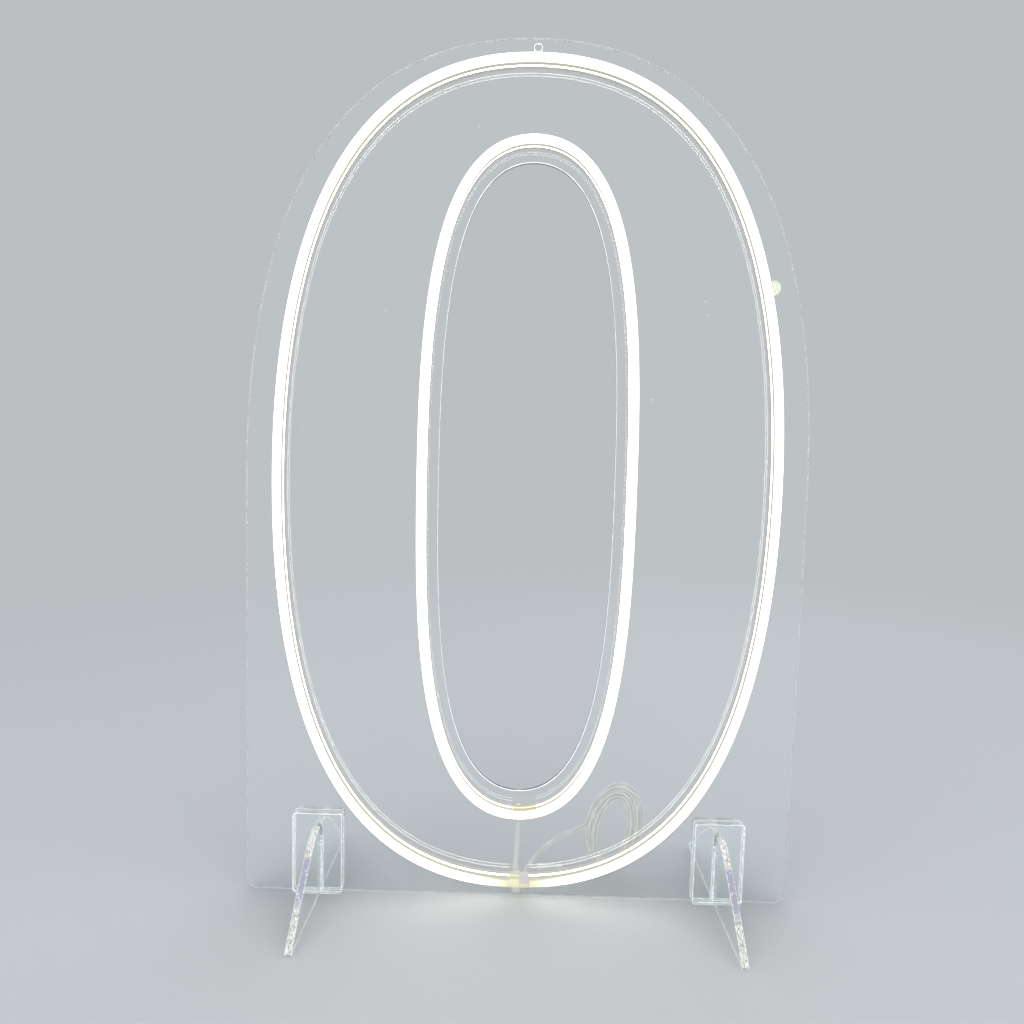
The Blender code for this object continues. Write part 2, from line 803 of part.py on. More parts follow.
def main():
    clear_scene()
    acrylic = material("clear_acrylic", (0.90, 0.93, 0.93), 0.03, transmission=1.0)
    mats = {
        "silicone": material("white_silicone", (0.80, 0.80, 0.76), 0.55),
        "diffuser": material("milky_silicone", (1.0, 0.97, 0.90), 0.45, glow=3.0),
        "tape": material("tape_white", (0.85, 0.85, 0.82), 0.5),
        "chip": material("led_phosphor", (0.95, 0.82, 0.35), 0.4, glow=1.0),
        "cap": material("clear_silicone", (0.88, 0.87, 0.74), 0.35),
    }
    cord = material("clear_pvc_lead", (0.78, 0.79, 0.77), 0.25)
    socket_mats = {
        "moulding": material("socket_moulding", (0.80, 0.80, 0.78), 0.4),
        "metal": material("nickel_plate", (0.72, 0.71, 0.68), 0.25),
    }
    bumper = material("bumper_gel", (0.86, 0.84, 0.74), 0.3)
    build_sheet(acrylic)
    outer = Stroke(
        outer_half_width, outer_half_height, outer_middle_height, outer_top_share, outer_side_share
    )
    inner = Stroke(
        inner_half_width, inner_half_height, inner_middle_height, inner_top_share, inner_side_share
    )
    build_stroke(
        "outer", outer, outer_seam_across, outer_left_cap_length, outer_right_cap_length, mats
    )
    build_stroke(
        "inner", inner, inner_seam_across, inner_left_cap_length, inner_right_cap_length, mats
    )
    build_foot("left", left_foot_across, acrylic, acrylic)
    build_foot("right", right_foot_across, acrylic, acrylic)
    build_link(cord, mats["cap"])
    build_lead(cord, socket_mats)
    build_bumper(bumper)


main()
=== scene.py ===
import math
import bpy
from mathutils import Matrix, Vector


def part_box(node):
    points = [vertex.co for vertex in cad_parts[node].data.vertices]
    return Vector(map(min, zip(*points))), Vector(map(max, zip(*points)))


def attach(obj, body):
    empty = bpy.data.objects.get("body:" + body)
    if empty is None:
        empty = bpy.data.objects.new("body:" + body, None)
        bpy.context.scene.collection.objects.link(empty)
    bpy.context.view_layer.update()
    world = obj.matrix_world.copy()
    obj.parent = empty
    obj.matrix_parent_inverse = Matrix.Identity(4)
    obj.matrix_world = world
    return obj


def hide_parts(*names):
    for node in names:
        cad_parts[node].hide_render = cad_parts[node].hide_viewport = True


bl_info = {
    "name": "Neon number light",
    "version": (1, 0, 0),
    "blender": (4, 5, 0),
    "location": "3D View > Sidebar > Number Light",
    "description": "Dresses a clear board with a glowing figure zero on slide-in feet",
    "category": "Object",
}

from bisect import bisect_right
from collections import namedtuple

import bpy
from bpy.props import FloatProperty, FloatVectorProperty, PointerProperty
from mathutils import Matrix, Vector
from mathutils.geometry import interpolate_bezier

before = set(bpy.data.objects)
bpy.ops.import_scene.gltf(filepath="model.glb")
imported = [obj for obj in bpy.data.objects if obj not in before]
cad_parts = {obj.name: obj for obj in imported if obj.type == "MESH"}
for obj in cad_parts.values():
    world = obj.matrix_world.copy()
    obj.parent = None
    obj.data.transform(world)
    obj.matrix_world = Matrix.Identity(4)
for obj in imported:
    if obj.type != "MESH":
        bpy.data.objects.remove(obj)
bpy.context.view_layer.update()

UPRIGHT = math.radians(90)
SIDEWAYS = math.radians(90)
MERGE_DISTANCE = 0.00001
SLOT_SEGMENTS = 16
CORNER_SEGMENTS = 12
ROUND_SEGMENTS = 8


def length(name, description, default):
    """A size in metres that a user can change."""
    return FloatProperty(
        name=name, description=description, default=default,
        min=0.0, unit="LENGTH", precision=5,
    )


def share(name, description, default):
    """A share of another size."""
    return FloatProperty(
        name=name, description=description, default=default,
        min=0.0, max=1.0, subtype="FACTOR",
    )


def colour(name, description, default):
    """A surface colour in linear values."""
    return FloatVectorProperty(
        name=name, description=description, default=default,
        size=3, min=0.0, max=1.0, subtype="COLOR",
    )


class LightSizes(bpy.types.PropertyGroup):
    """Sizes of the light"""

    outer_half_width: length("Outer half width", "Outer stroke, to the middle of the flex", 0.2237)
    outer_half_height: length("Outer half height", "Outer stroke, to the flex's middle", 0.3684)
    outer_top_share: share("Outer top share", "How far the outer stroke's top stays flat", 0.765)
    outer_side_share: share("Outer side share", "How far its sides stay straight", 0.552)
    side_spacing: length("Side spacing", "Between the strokes at the sides", 0.1293)
    top_spacing: length("Top spacing", "Between the strokes at the top", 0.0673)
    foot_spacing: length("Foot spacing", "Between the strokes at the foot", 0.0659)
    inner_top_share: share("Inner top share", "How far the inner stroke's top stays flat", 0.963)
    inner_side_share: share("Inner side share", "How far its sides stay straight", 0.441)
    side_margin: length("Side margin", "From the outer stroke to the board's side", 0.0317)
    top_margin: length("Top margin", "From the outer stroke to the board's top", 0.0224)
    foot_margin: length("Foot margin", "From the outer stroke to the board's foot", 0.0198)
    board_corner: length("Board corner radius", "Round corners at the board's foot", 0.010)
    board_thickness: length("Board thickness", "Clear sheet of the board", 0.004)
    polish: length("Polished edge", "Softened arris of the cut sheets", 0.0004)
    counter_side_inset: length("Counter side inset", "From the inner stroke", 0.0144)
    counter_top_inset: length("Counter top inset", "From the inner stroke", 0.0153)
    counter_foot_inset: length("Counter foot inset", "From the inner stroke", 0.0173)
    hanging_drop: length("Hanging hole drop", "Below the board's top", 0.008)
    hanging_radius: length("Hanging hole radius", "Hole at the top of the board", 0.00325)
    lead_hole_offset: length("Lead hole offset", "Right of the outer seam", 0.0065)
    lead_hole_radius: length("Lead hole radius", "Hole that the lead comes through", 0.0024)
    link_hole_radius: length("Link hole radius", "Hole that the link cable comes through", 0.0029)
    flex_width: length("Flex width", "Width of the lit face", 0.008)
    flex_depth: length("Flex depth", "From the board to the lit face", 0.015)
    diffuser_depth: length("Diffuser depth", "Milky front of the flex", 0.005)
    diffuser_edge: length("Diffuser edge radius", "Round edge of the lit face", 0.002)
    seat_gap: length("Seat gap", "Glue line under each bonded piece", 0.0003)
    moulded_edge: length("Moulded edge", "Softened edge of the flex body", 0.00025)
    pocket_width: length("Pocket width", "Pocket for the light tape", 0.0056)
    pocket_depth: length("Pocket depth", "Pocket for the light tape", 0.004)
    outer_seam: length("Outer seam", "Right of the middle line", 0.003)
    inner_seam: length("Inner seam", "Left of the middle line", 0.002)
    outer_cap: length("Outer cap length", "Both end caps of the outer stroke", 0.009)
    inner_left_cap: length("Inner left cap length", "Short end cap of the inner stroke", 0.003)
    inner_right_cap: length("Inner right cap length", "Long end cap of the inner stroke", 0.020)
    left_foot_inset: length("Left foot inset", "From the board's side to the fin", 0.0679)
    right_foot_inset: length("Right foot inset", "From the board's side to the fin", 0.0657)
    pad_width: length("Pad width", "Foot pads", 0.0465)
    pad_height: length("Pad height", "Foot pads", 0.078)
    pad_thickness: length("Pad thickness", "Foot pads", 0.006)
    pad_corner: length("Pad corner radius", "Foot pads", 0.0025)
    slot_height: length("Slot height", "Top of the slots for the fins", 0.0515)
    slot_half_width: length("Slot half width", "Slots for the fins", 0.0033)
    fin_thickness: length("Fin thickness", "Clear blade of each foot", 0.006)
    fin_height: length("Fin height", "Clear blade of each foot", 0.066)
    fin_half_depth: length("Fin half depth", "From the board to a toe", 0.100)
    fin_flat: length("Fin flat", "Flat top of each half of a fin", 0.0045)
    fin_shoulder: length("Fin shoulder", "How far the shoulder of a fin reaches", 0.015)
    fin_flank_depth: length("Fin flank depth", "Where the slope of a fin aims, forwards", 0.070)
    fin_flank_height: length("Fin flank height", "Where the slope of a fin aims, upwards", 0.030)
    fin_toe: length("Fin toe radius", "Round toe of each fin", 0.002)
    link_across: length("Link cable top", "Right of the middle line", 0.0010)
    link_drift: length("Link cable drift", "How far its foot lies to the left", 0.0019)
    link_width: length("Link cable width", "Flat cable between the strokes", 0.0047)
    link_thickness: length("Link cable thickness", "Flat cable between the strokes", 0.0018)
    link_bend: length("Link cable bend", "Radius where it leaves its hole", 0.0036)
    link_settle: length("Link cable settle", "Length over which it lies down", 0.0216)
    sleeve_across: length("Sleeve place", "Right of the middle line", 0.0003)
    sleeve_width: length("Sleeve width", "Splice sleeve of the cables", 0.0074)
    sleeve_depth: length("Sleeve depth", "Splice sleeve of the cables", 0.0030)
    sleeve_foot: length("Sleeve foot", "Height of its lower end", 0.0005)
    sleeve_length: length("Sleeve length", "Splice sleeve of the cables", 0.0215)
    bumper_inset: length("Bumper inset", "From the outer stroke's side", 0.0077)
    bumper_rise: length("Bumper rise", "Above the middle of the outer stroke", 0.1835)
    bumper_radius: length("Bumper radius", "Gel dome behind the board", 0.0065)
    bumper_thickness: length("Bumper thickness", "Gel dome behind the board", 0.0030)


class LightColours(bpy.types.PropertyGroup):
    """Colours of the light"""

    glow: colour("Glow", "Light from the flex", (1.0, 0.955, 0.86))
    # Flank and lip are greyed to paint the shade on the sides of the white and the milky silicone.
    flank: colour("Flank", "Side of the flex", (0.50, 0.50, 0.46))
    lip: colour("Lip", "Side of the flex just behind the lit face", (0.52, 0.52, 0.42))
    acrylic: colour("Acrylic", "Clear sheet", (0.975, 0.99, 0.99))
    cut_edge: colour("Cut edge", "Light that leaves the sheet at its edges", (0.90, 0.95, 0.96))
    glue: colour("Clear silicone", "End caps and glue", (0.78, 0.74, 0.52))
    gel: colour("Bumper gel", "Dome behind the board", (0.80, 0.81, 0.68))
    cord: colour("Cord", "Clear sheath of the lead", (0.94, 0.95, 0.94))
    cores: colour("Cores", "Cores of the lead", (0.48, 0.48, 0.44))
    floor: colour("Floor", "Floor and backdrop", (0.50, 0.52, 0.54))


def deselect():
    """Leave nothing selected."""
    if bpy.context.object and bpy.context.object.mode != "OBJECT":
        bpy.ops.object.mode_set(mode="OBJECT")
    bpy.ops.object.select_all(action="DESELECT")


def pick(obj):
    """Make one object the selected and active one."""
    deselect()
    obj.hide_set(False)
    obj.select_set(True)
    bpy.context.view_layer.objects.active = obj


def dress(obj, mats, body, nodes, angle=35):
    """Shade a finished piece, give it its materials and its place in the model."""
    pick(obj)
    bpy.ops.object.shade_smooth_by_angle(angle=math.radians(angle))
    for mat in mats:
        obj.data.materials.append(mat)
    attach(obj, body)
    if nodes:
        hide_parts(*nodes)
    return obj


def tidy_mesh(obj):
    """Merge the doubles of a new mesh and point its faces outwards."""
    pick(obj)
    bpy.ops.object.mode_set(mode="EDIT")
    bpy.ops.mesh.select_all(action="SELECT")
    bpy.ops.mesh.remove_doubles(threshold=MERGE_DISTANCE)
    bpy.ops.mesh.normals_make_consistent(inside=False)
    bpy.ops.object.mode_set(mode="OBJECT")


def new_object(name, data):
    """Object in the scene for a mesh, a curve, a lamp or a camera."""
    obj = bpy.data.objects.new(name, data)
    bpy.context.collection.objects.link(obj)
    return obj


def new_curve(name, dimensions, lines, closed=False, **settings):
    """Curve object of straight lines through the given places."""
    curve = bpy.data.curves.new(name, "CURVE")
    curve.dimensions = dimensions
    for key, value in settings.items():
        setattr(curve, key, value)
    for line in lines:
        spline = curve.splines.new("POLY")
        spline.points.add(len(line) - 1)
        for point, place in zip(spline.points, line):
            point.co = (*place.to_3d(), 1)
        spline.use_cyclic_u = closed
    return new_object(name, curve)


def to_mesh(obj):
    """Turn a curve into a clean mesh."""
    pick(obj)
    bpy.ops.object.convert(target="MESH")
    tidy_mesh(obj)
    return obj


def stand_up(obj, across=0.0, back=0.0, turn=0.0):
    """Stand a piece drawn flat upright, facing forwards or turned, and keep that in its mesh."""
    pick(obj)
    obj.rotation_euler = (UPRIGHT, 0, turn)
    obj.location = (across, back, 0)
    bpy.ops.object.transform_apply(location=True, rotation=True, scale=True)


def arc(centre, radius, start, end, segments):
    """Points on an arc, angles in degrees."""
    angles = (math.radians(start + (end - start) * i / segments) for i in range(segments + 1))
    return [
        Vector((centre[0] + radius * math.cos(a), centre[1] + radius * math.sin(a))) for a in angles
    ]


def zero_quarter(half_width, half_height, top_share, side_share, segments):
    """Right upper quarter of a figure zero, from its side to its top."""
    points = interpolate_bezier(
        Vector((half_width, 0, 0)), Vector((half_width, half_height * side_share, 0)),
        Vector((half_width * top_share, half_height, 0)), Vector((0, half_height, 0)), segments + 1,
    )
    return [Vector((p.x, p.y)) for p in points]


def zero_outline(half_width, half_height, middle, top_share, side_share, segments):
    """Whole figure zero, anticlockwise from its lowest point."""
    quarter = zero_quarter(half_width, half_height, top_share, side_share, segments)
    rising = [Vector((p.x, -p.y)) for p in reversed(quarter)]
    right = rising[:-1] + quarter
    left = [Vector((-p.x, p.y)) for p in reversed(right)]
    return [p + Vector((0, middle)) for p in right[:-1] + left[:-1]]


def slot_edge(sizes, across):
    """Edge of a slot open at the bottom with a round top."""
    half = sizes.slot_half_width
    top = arc((across, sizes.slot_height - half), half, 180, 0, SLOT_SEGMENTS)
    return [Vector((across - half, 0))] + top + [Vector((across + half, 0))]


def foot_places(sizes):
    """Where the fins stand, left and right of the middle line."""
    half_width = sizes.outer_half_width + sizes.side_margin
    return sizes.left_foot_inset - half_width, half_width - sizes.right_foot_inset


def cut_sheet(name, loops, thickness, polish):
    """Flat clear piece cut from sheet with softened arrises, drawn lying flat."""
    return to_mesh(new_curve(
        name, "2D", loops, closed=True, fill_mode="BOTH", extrude=thickness / 2 - polish,
        bevel_depth=polish, bevel_resolution=1, offset=-polish,
    ))


FACE, WALL, ARRIS, LIT_ARRIS = range(4)
FIN_SLOPE = 3
FLAT_FACING = 0.98
WALL_FACING = 0.1
LIT_REACH = 1.2
HOLE_REACH = 1.5


def near_light(sizes, place):
    """Whether an arris of the board lies where the flex lights it up."""
    half_width, half_height, middle = inner_measures(sizes)
    side = place.x / half_width
    rise = (place.z - middle) / half_height
    top = 2 * sizes.outer_half_height + sizes.foot_margin + sizes.top_margin
    hole = Vector((0, place.y, top - sizes.hanging_drop))
    in_ring = side * side + rise * rise < LIT_REACH
    return in_ring or (place - hole).length < HOLE_REACH * sizes.hanging_radius


def mark_cut_edges(obj, flat, sizes=None):
    """Give a sheet's cut walls, its arrises and its lit arrises a material slot each."""
    for face in obj.data.polygons:
        facing = abs(face.normal.dot(flat))
        if facing > FLAT_FACING:
            face.material_index = FACE
        elif facing < WALL_FACING:
            face.material_index = WALL
        elif sizes and near_light(sizes, face.center):
            face.material_index = LIT_ARRIS
        else:
            face.material_index = ARRIS


STROKE_POINTS = 400
FLEX_STEP = 0.003
CAP_STEP = 0.001


class Stroke:
    """One closed stroke, measured along its length from its lowest point."""

    def __init__(self, outline):
        self.points = outline + outline[:1]
        self.lengths = [0.0]
        for first, second in zip(self.points, self.points[1:]):
            self.lengths.append(self.lengths[-1] + (second - first).length)
        self.total = self.lengths[-1]

    def at(self, along):
        """Place at a length."""
        along = along % self.total
        high = bisect_right(self.lengths, along)
        low = high - 1
        rest = (along - self.lengths[low]) / (self.lengths[high] - self.lengths[low])
        return self.points[low].lerp(self.points[high], rest)

    def run(self, start, end, step):
        """Even points from one length to another."""
        count = max(2, round((end - start) / step))
        return [self.at(start + (end - start) * i / count) for i in range(count + 1)]


def outer_stroke(sizes):
    """Outer stroke of the zero."""
    middle = sizes.outer_half_height + sizes.foot_margin
    return Stroke(zero_outline(
        sizes.outer_half_width, sizes.outer_half_height, middle,
        sizes.outer_top_share, sizes.outer_side_share, STROKE_POINTS,
    ))


def inner_measures(sizes):
    """Half width, half height and middle height of the inner stroke."""
    half_width = sizes.outer_half_width - sizes.side_spacing
    half_height = sizes.outer_half_height - (sizes.top_spacing + sizes.foot_spacing) / 2
    middle = sizes.foot_margin + sizes.foot_spacing + half_height
    return half_width, half_height, middle


def inner_stroke(sizes):
    """Inner stroke of the zero."""
    half_width, half_height, middle = inner_measures(sizes)
    return Stroke(zero_outline(
        half_width, half_height, middle,
        sizes.inner_top_share, sizes.inner_side_share, STROKE_POINTS,
    ))


def pull_section(name, run, section):
    """Pull a section along a run of points, drawn lying flat, with both ends closed."""
    guide = new_curve(name + "_section", "2D", [section], closed=True)
    piece = to_mesh(new_curve(
        name, "2D", [run], fill_mode="NONE", bevel_mode="OBJECT", bevel_object=guide,
        use_fill_caps=True,
    ))
    bpy.data.objects.remove(guide)
    return piece


FlexLevels = namedtuple("FlexLevels", "back body_front lit_back front")


def flex_levels(sizes):
    """Depths of the flex's parts, forwards of the board's middle plane."""
    face = sizes.board_thickness / 2
    front = face + sizes.flex_depth
    lit_back = front - sizes.diffuser_depth
    return FlexLevels(face + sizes.seat_gap, lit_back - sizes.seat_gap, lit_back, front)


def rounded_section(sizes, back):
    """Section of the flex from a depth to the lit face, with its two front corners rounded."""
    half = sizes.flex_width / 2
    radius = sizes.diffuser_edge
    front = flex_levels(sizes).front - radius
    points = [Vector((-half, back)), Vector((half, back))]
    points += arc((half - radius, front), radius, 0, 90, ROUND_SEGMENTS)
    points += arc((radius - half, front), radius, 90, 180, ROUND_SEGMENTS)
    return points


def trough_section(sizes):
    """Section of the flex body with its pocket for the light tape."""
    half = sizes.flex_width / 2
    inner = sizes.pocket_width / 2
    levels = flex_levels(sizes)
    back, front = levels.back, levels.lit_back
    floor = front - sizes.pocket_depth
    ease = sizes.moulded_edge
    right = [
        (half - ease, back), (half, back + ease), (half, front - ease), (half - ease, front),
        (inner, front), (inner, floor),
    ]
    left = [(-across, depth) for across, depth in reversed(right)]
    return [Vector(place) for place in left[-1:] + right + left[:-1]]


def add_node(tree, kind, place, *feeds, **values):
    """One shader node: settings and inputs by name, or inputs in their order."""
    node = tree.nodes.new(kind)
    node.location = place
    for key, value in values.items():
        if hasattr(node, key):
            setattr(node, key, value)
        else:
            feed(tree, node, key.replace("_", " "), value)
    for number, value in enumerate(feeds):
        feed(tree, node, number, value)
    return node


def feed(tree, node, name, value):
    """Give an input its own value, or link it to the output that feeds it."""
    socket = node.inputs[name]
    if isinstance(value, bpy.types.NodeSocket):
        tree.links.new(value, socket)
    elif socket.type == "RGBA":
        socket.default_value = (*value, 1)
    else:
        socket.default_value = value


def new_material(name, **values):
    """Material with its Principled surface and the values that are the same all over it."""
    mat = bpy.data.materials.new(name)
    mat.use_nodes = True
    tree = mat.node_tree
    surface = tree.nodes["Principled BSDF"]
    for key, value in values.items():
        feed(tree, surface, key.replace("_", " "), value)
    return mat, tree, surface


def start_group(name, inputs, outputs):
    """Shared effect with its named sockets: its inputs, its end node and Object coordinates."""
    group = bpy.data.node_groups.new(name, "ShaderNodeTree")
    for label, kind in inputs.items():
        group.interface.new_socket(label, in_out="INPUT", socket_type="NodeSocket" + kind)
    for label in outputs:
        group.interface.new_socket(label, in_out="OUTPUT", socket_type="NodeSocketFloat")
    given = add_node(group, "NodeGroupInput", (-800, 0))
    made = add_node(group, "NodeGroupOutput", (400, 0))
    where = add_node(group, "ShaderNodeTexCoord", (-800, -200))
    return group, given.outputs, made, where.outputs["Object"]


def speckle_group(name):
    """Fine uneven tone and roughness that every moulded surface has."""
    inputs = {"Scale": "Float", "Low": "Float", "High": "Float"}
    group, given, made, where = start_group(name, inputs, ("Value", "Height"))
    noise = add_node(
        group, "ShaderNodeTexNoise", (-300, 0), Vector=where, Scale=given["Scale"],
        Detail=4.0, Roughness=0.6,
    )
    spread = add_node(
        group, "ShaderNodeMapRange", (0, 0), Value=noise.outputs["Fac"],
        To_Min=given["Low"], To_Max=given["High"],
    )
    feed(group, made, "Value", spread.outputs["Result"])
    feed(group, made, "Height", noise.outputs["Fac"])
    return group


def ribs_group(name):
    """Fine ribs of a cut: noise drawn out along one direction."""
    group, given, made, where = start_group(name, {"Stretch": "Vector"}, ("Value", "Height"))
    drawn = add_node(
        group, "ShaderNodeVectorMath", (-500, -200), where, given["Stretch"], operation="MULTIPLY"
    )
    noise = add_node(
        group, "ShaderNodeTexNoise", (-300, 0), Vector=drawn.outputs["Vector"],
        Scale=1.0, Detail=3.0, Roughness=0.55,
    )
    spread = add_node(
        group, "ShaderNodeMapRange", (0, 0), Value=noise.outputs["Fac"],
        From_Min=0.32, From_Max=0.68,
    )
    feed(group, made, "Value", spread.outputs["Result"])
    feed(group, made, "Height", noise.outputs["Fac"])
    return group


def dust_and_glint_group(name):
    """Sparse round specks: where dust lies on a sheet and where glints of light are painted."""
    group, given, made, where = start_group(name, {"Scale": "Float", "Size": "Float"}, ("Mask",))
    cells = add_node(group, "ShaderNodeTexVoronoi", (-300, 0), Vector=where, Scale=given["Scale"])
    spread = add_node(
        group, "ShaderNodeMapRange", (0, 0), interpolation_type="SMOOTHSTEP",
        Value=cells.outputs["Distance"], From_Min=0.0, From_Max=given["Size"],
        To_Min=1.0, To_Max=0.0,
    )
    feed(group, made, "Mask", spread.outputs["Result"])
    return group


def rising_group(name, reading, operation):
    """Mask that rises from 0 to 1 between two values of what is read from the coordinates."""
    inputs = {reading: "Vector", "Start": "Float", "End": "Float"}
    group, given, made, where = start_group(name, inputs, ("Mask",))
    read = add_node(
        group, "ShaderNodeVectorMath", (-300, -200), where, given[reading], operation=operation
    )
    spread = add_node(
        group, "ShaderNodeMapRange", (0, 0), interpolation_type="SMOOTHSTEP",
        Value=read.outputs["Value"], From_Min=given["Start"], From_Max=given["End"],
    )
    feed(group, made, "Mask", spread.outputs["Result"])
    return group


def along_group(name):
    """Mask that rises with the place along a direction."""
    return rising_group(name, "Along", "DOT_PRODUCT")


def apart_group(name):
    """Mask that rises with the distance from a point."""
    return rising_group(name, "Centre", "DISTANCE")


GROUPS = {
    "fine_speckle": speckle_group, "cut_ribs": ribs_group, "dust_and_glint_specks": dust_and_glint_group,
    "place_mask": along_group, "near_mask": apart_group,
}
SHEET_NORMAL = Vector((0, 1, 0))
SHEET_RIBS = (600.0, 60.0, 600.0)
ARRIS_RIBS = (90.0, 90.0, 90.0)
FOOT_ARRIS_RIBS = (300.0, 300.0, 300.0)
FIN_RIBS = (1100.0, 380.0, 380.0)
ACRYLIC_IOR = 1.49
SILICONE_IOR = 1.41
ACROSS = (1, 0, 0)
DEPTH = (0, -1, 0)
HEIGHT = (0, 0, 1)


def place_group(tree, name, place, **values):
    """Outputs of a shared effect placed with its own values; it is built the first time."""
    node = tree.nodes.new("ShaderNodeGroup")
    node.node_tree = bpy.data.node_groups.get(name) or GROUPS[name](name)
    node.location = place
    for key, value in values.items():
        feed(tree, node, key, value)
    return node.outputs


def place_mask(tree, along, start, end, place):
    """Mask by place along a direction."""
    return place_group(tree, "place_mask", place, Along=along, Start=start, End=end)["Mask"]


def blend(tree, mask, low, high, place):
    """Colour that goes from one to another by a mask; each is a colour or an output."""
    mix = add_node(tree, "ShaderNodeMix", place, data_type="RGBA")
    factor, first, second = 0, 6, 7
    for socket, value in ((factor, mask), (first, low), (second, high)):
        feed(tree, mix, socket, value)
    return mix.outputs[2]


def stepped(tree, shown, changes, place):
    """Colour that changes step by step: each change has a direction, two places and its colour."""
    across, height = place
    for i, (along, start, end, after) in enumerate(changes):
        mask = place_mask(tree, along, start, end, (across, height - 200 * i))
        shown = blend(tree, mask, shown, after, (across + 300 + 200 * i, height))
    return shown


def between(tree, heights, outside, inside, place):
    """Colour that is another one between two pairs of heights."""
    (foot_start, foot_end), (top_start, top_end) = heights
    changes = ((HEIGHT, foot_start, foot_end, inside), (HEIGHT, top_start, top_end, outside))
    return stepped(tree, outside, changes, place)


def times(factor, tint):
    """A colour made brighter or darker."""
    return tuple(factor * value for value in tint)


def shine(tree, surface, shown, peak):
    """Light that a surface gives off: a colour over the surface, times one plain strength."""
    feed(tree, surface, "Emission Color", shown)
    feed(tree, surface, "Emission Strength", peak)


def pass_light(tree, surface, share_through):
    """Let lamp light through a clear piece, so that what stands behind it is lit."""
    path = add_node(tree, "ShaderNodeLightPath", (-600, 700))
    cover = add_node(
        tree, "ShaderNodeMath", (-300, 700), path.outputs["Is Shadow Ray"], -share_through, 1.0,
        operation="MULTIPLY_ADD",
    )
    feed(tree, surface, "Alpha", cover.outputs["Value"])


def moulded_skin(tree, surface, scale, low, high, tint=None, shares=(0.93, 1.0)):
    """Uneven roughness of a surface and, where it has a tint, its uneven tone."""
    speckle = place_group(tree, "fine_speckle", (-400, 200), Scale=scale, Low=low, High=high)
    feed(tree, surface, "Roughness", speckle["Value"])
    if tint is None:
        return None
    dark, light = (times(part, tint) for part in shares)
    tone = blend(tree, speckle["Height"], dark, light, (-200, 400))
    feed(tree, surface, "Base Color", tone)
    return tone


def acrylic_material(colours):
    """Clear cast sheet with a few specks of dust, painted as glints of light, and a faint painted
    glow all over.
    """
    mat, tree, surface = new_material(
        "clear_acrylic_face", Base_Color=colours.acrylic, Transmission_Weight=1.0, IOR=ACRYLIC_IOR
    )
    # Painted light: a faint glow over the whole sheet and bright glints on the dust specks.
    painted_glow, painted_dust_glint = (0.011, 0.012, 0.012), (0.90, 0.92, 0.94)
    dust = place_group(tree, "dust_and_glint_specks", (-700, -200), Scale=34.0, Size=0.022)
    shine(tree, surface, blend(tree, dust["Mask"], painted_glow, painted_dust_glint, (-400, -200)), 1.0)
    pass_light(tree, surface, share_through=0.9)
    moulded_skin(tree, surface, scale=60.0, low=0.0, high=0.02)
    return mat


def ribbed_glass(name, clear, rough, stretch, strength, distance):
    """Clear cut surface with fine ribs; gives back the ribs' pattern too."""
    mat, tree, surface = new_material(
        name, Transmission_Weight=clear, IOR=ACRYLIC_IOR, Roughness=rough
    )
    ribs = place_group(tree, "cut_ribs", (-1000, -250), Stretch=stretch)
    bump = add_node(
        tree, "ShaderNodeBump", (-300, -500), Strength=strength, Distance=distance,
        Height=ribs["Height"],
    )
    feed(tree, surface, "Normal", bump.outputs["Normal"])
    pass_light(tree, surface, share_through=0.7)
    return mat, tree, surface, ribs["Value"]


def cut_edge_material(name, colours, stretch, clear, low, high, dim_heights=None):
    """Laser-cut edge that catches the light led along the sheet, less so between two heights."""
    mat, tree, surface, ribs = ribbed_glass(
        name, clear, rough=0.16, stretch=stretch, strength=0.4, distance=0.0002
    )
    feed(tree, surface, "Base Color", colours.cut_edge)
    dark = times(low / high, colours.cut_edge)
    shown = blend(tree, ribs, dark, colours.cut_edge, (-700, -250))
    if dim_heights:
        half_dark, half_light = times(0.5, dark), times(0.5, colours.cut_edge)
        dim = blend(tree, ribs, half_dark, half_light, (-700, -700))
        shown = between(tree, dim_heights, shown, dim, (-1000, -900))
    shine(tree, surface, shown, high)
    return mat


def fin_edge_material():
    """Sloping edge of a fin: painted glow on the ribbed glass at the shoulder and the toe, a dim
    painted violet with painted glints between, and painted shade in its base colour.
    """
    mat, tree, surface, ribs = ribbed_glass(
        "fin_cut_edge", clear=0.65, rough=0.12, stretch=FIN_RIBS, strength=0.6, distance=0.0006
    )
    toe_end, shoulder_start = (0.020, 0.034), (0.0515, 0.0535)
    dim_heights = (toe_end, shoulder_start)
    # Painted light: the glow at the ends and the dim violet with its glints between.
    unlit, lit = (0.0, 0.0, 0.0), (0.50, 0.49, 0.44)
    violet, glint = (0.012, 0.010, 0.025), (0.60, 0.58, 0.75)
    cells = blend(tree, ribs, unlit, lit, (-700, -250))
    glints = place_group(tree, "dust_and_glint_specks", (-1000, -700), Scale=300.0, Size=0.34)
    dim = blend(tree, glints["Mask"], violet, glint, (-700, -700))
    shine(tree, surface, between(tree, dim_heights, cells, dim, (-1000, -1000)), 1.0)
    # Painted shade: grey in the rib cells and lavender between the toe and the shoulder.
    shaded, clear, painted_lavender_shade = (0.46, 0.47, 0.45), (0.96, 0.97, 0.95), (0.72, 0.70, 0.86)
    glass = blend(tree, ribs, shaded, clear, (-700, 500))
    feed(tree, surface, "Base Color", between(tree, dim_heights, glass, painted_lavender_shade, (-1000, 900)))
    return mat


GLARE = 5.0
OUTER_LEAK = 10.0
INNER_LEAK = 6.0
CREAM = (1.0, 0.96, 0.66)


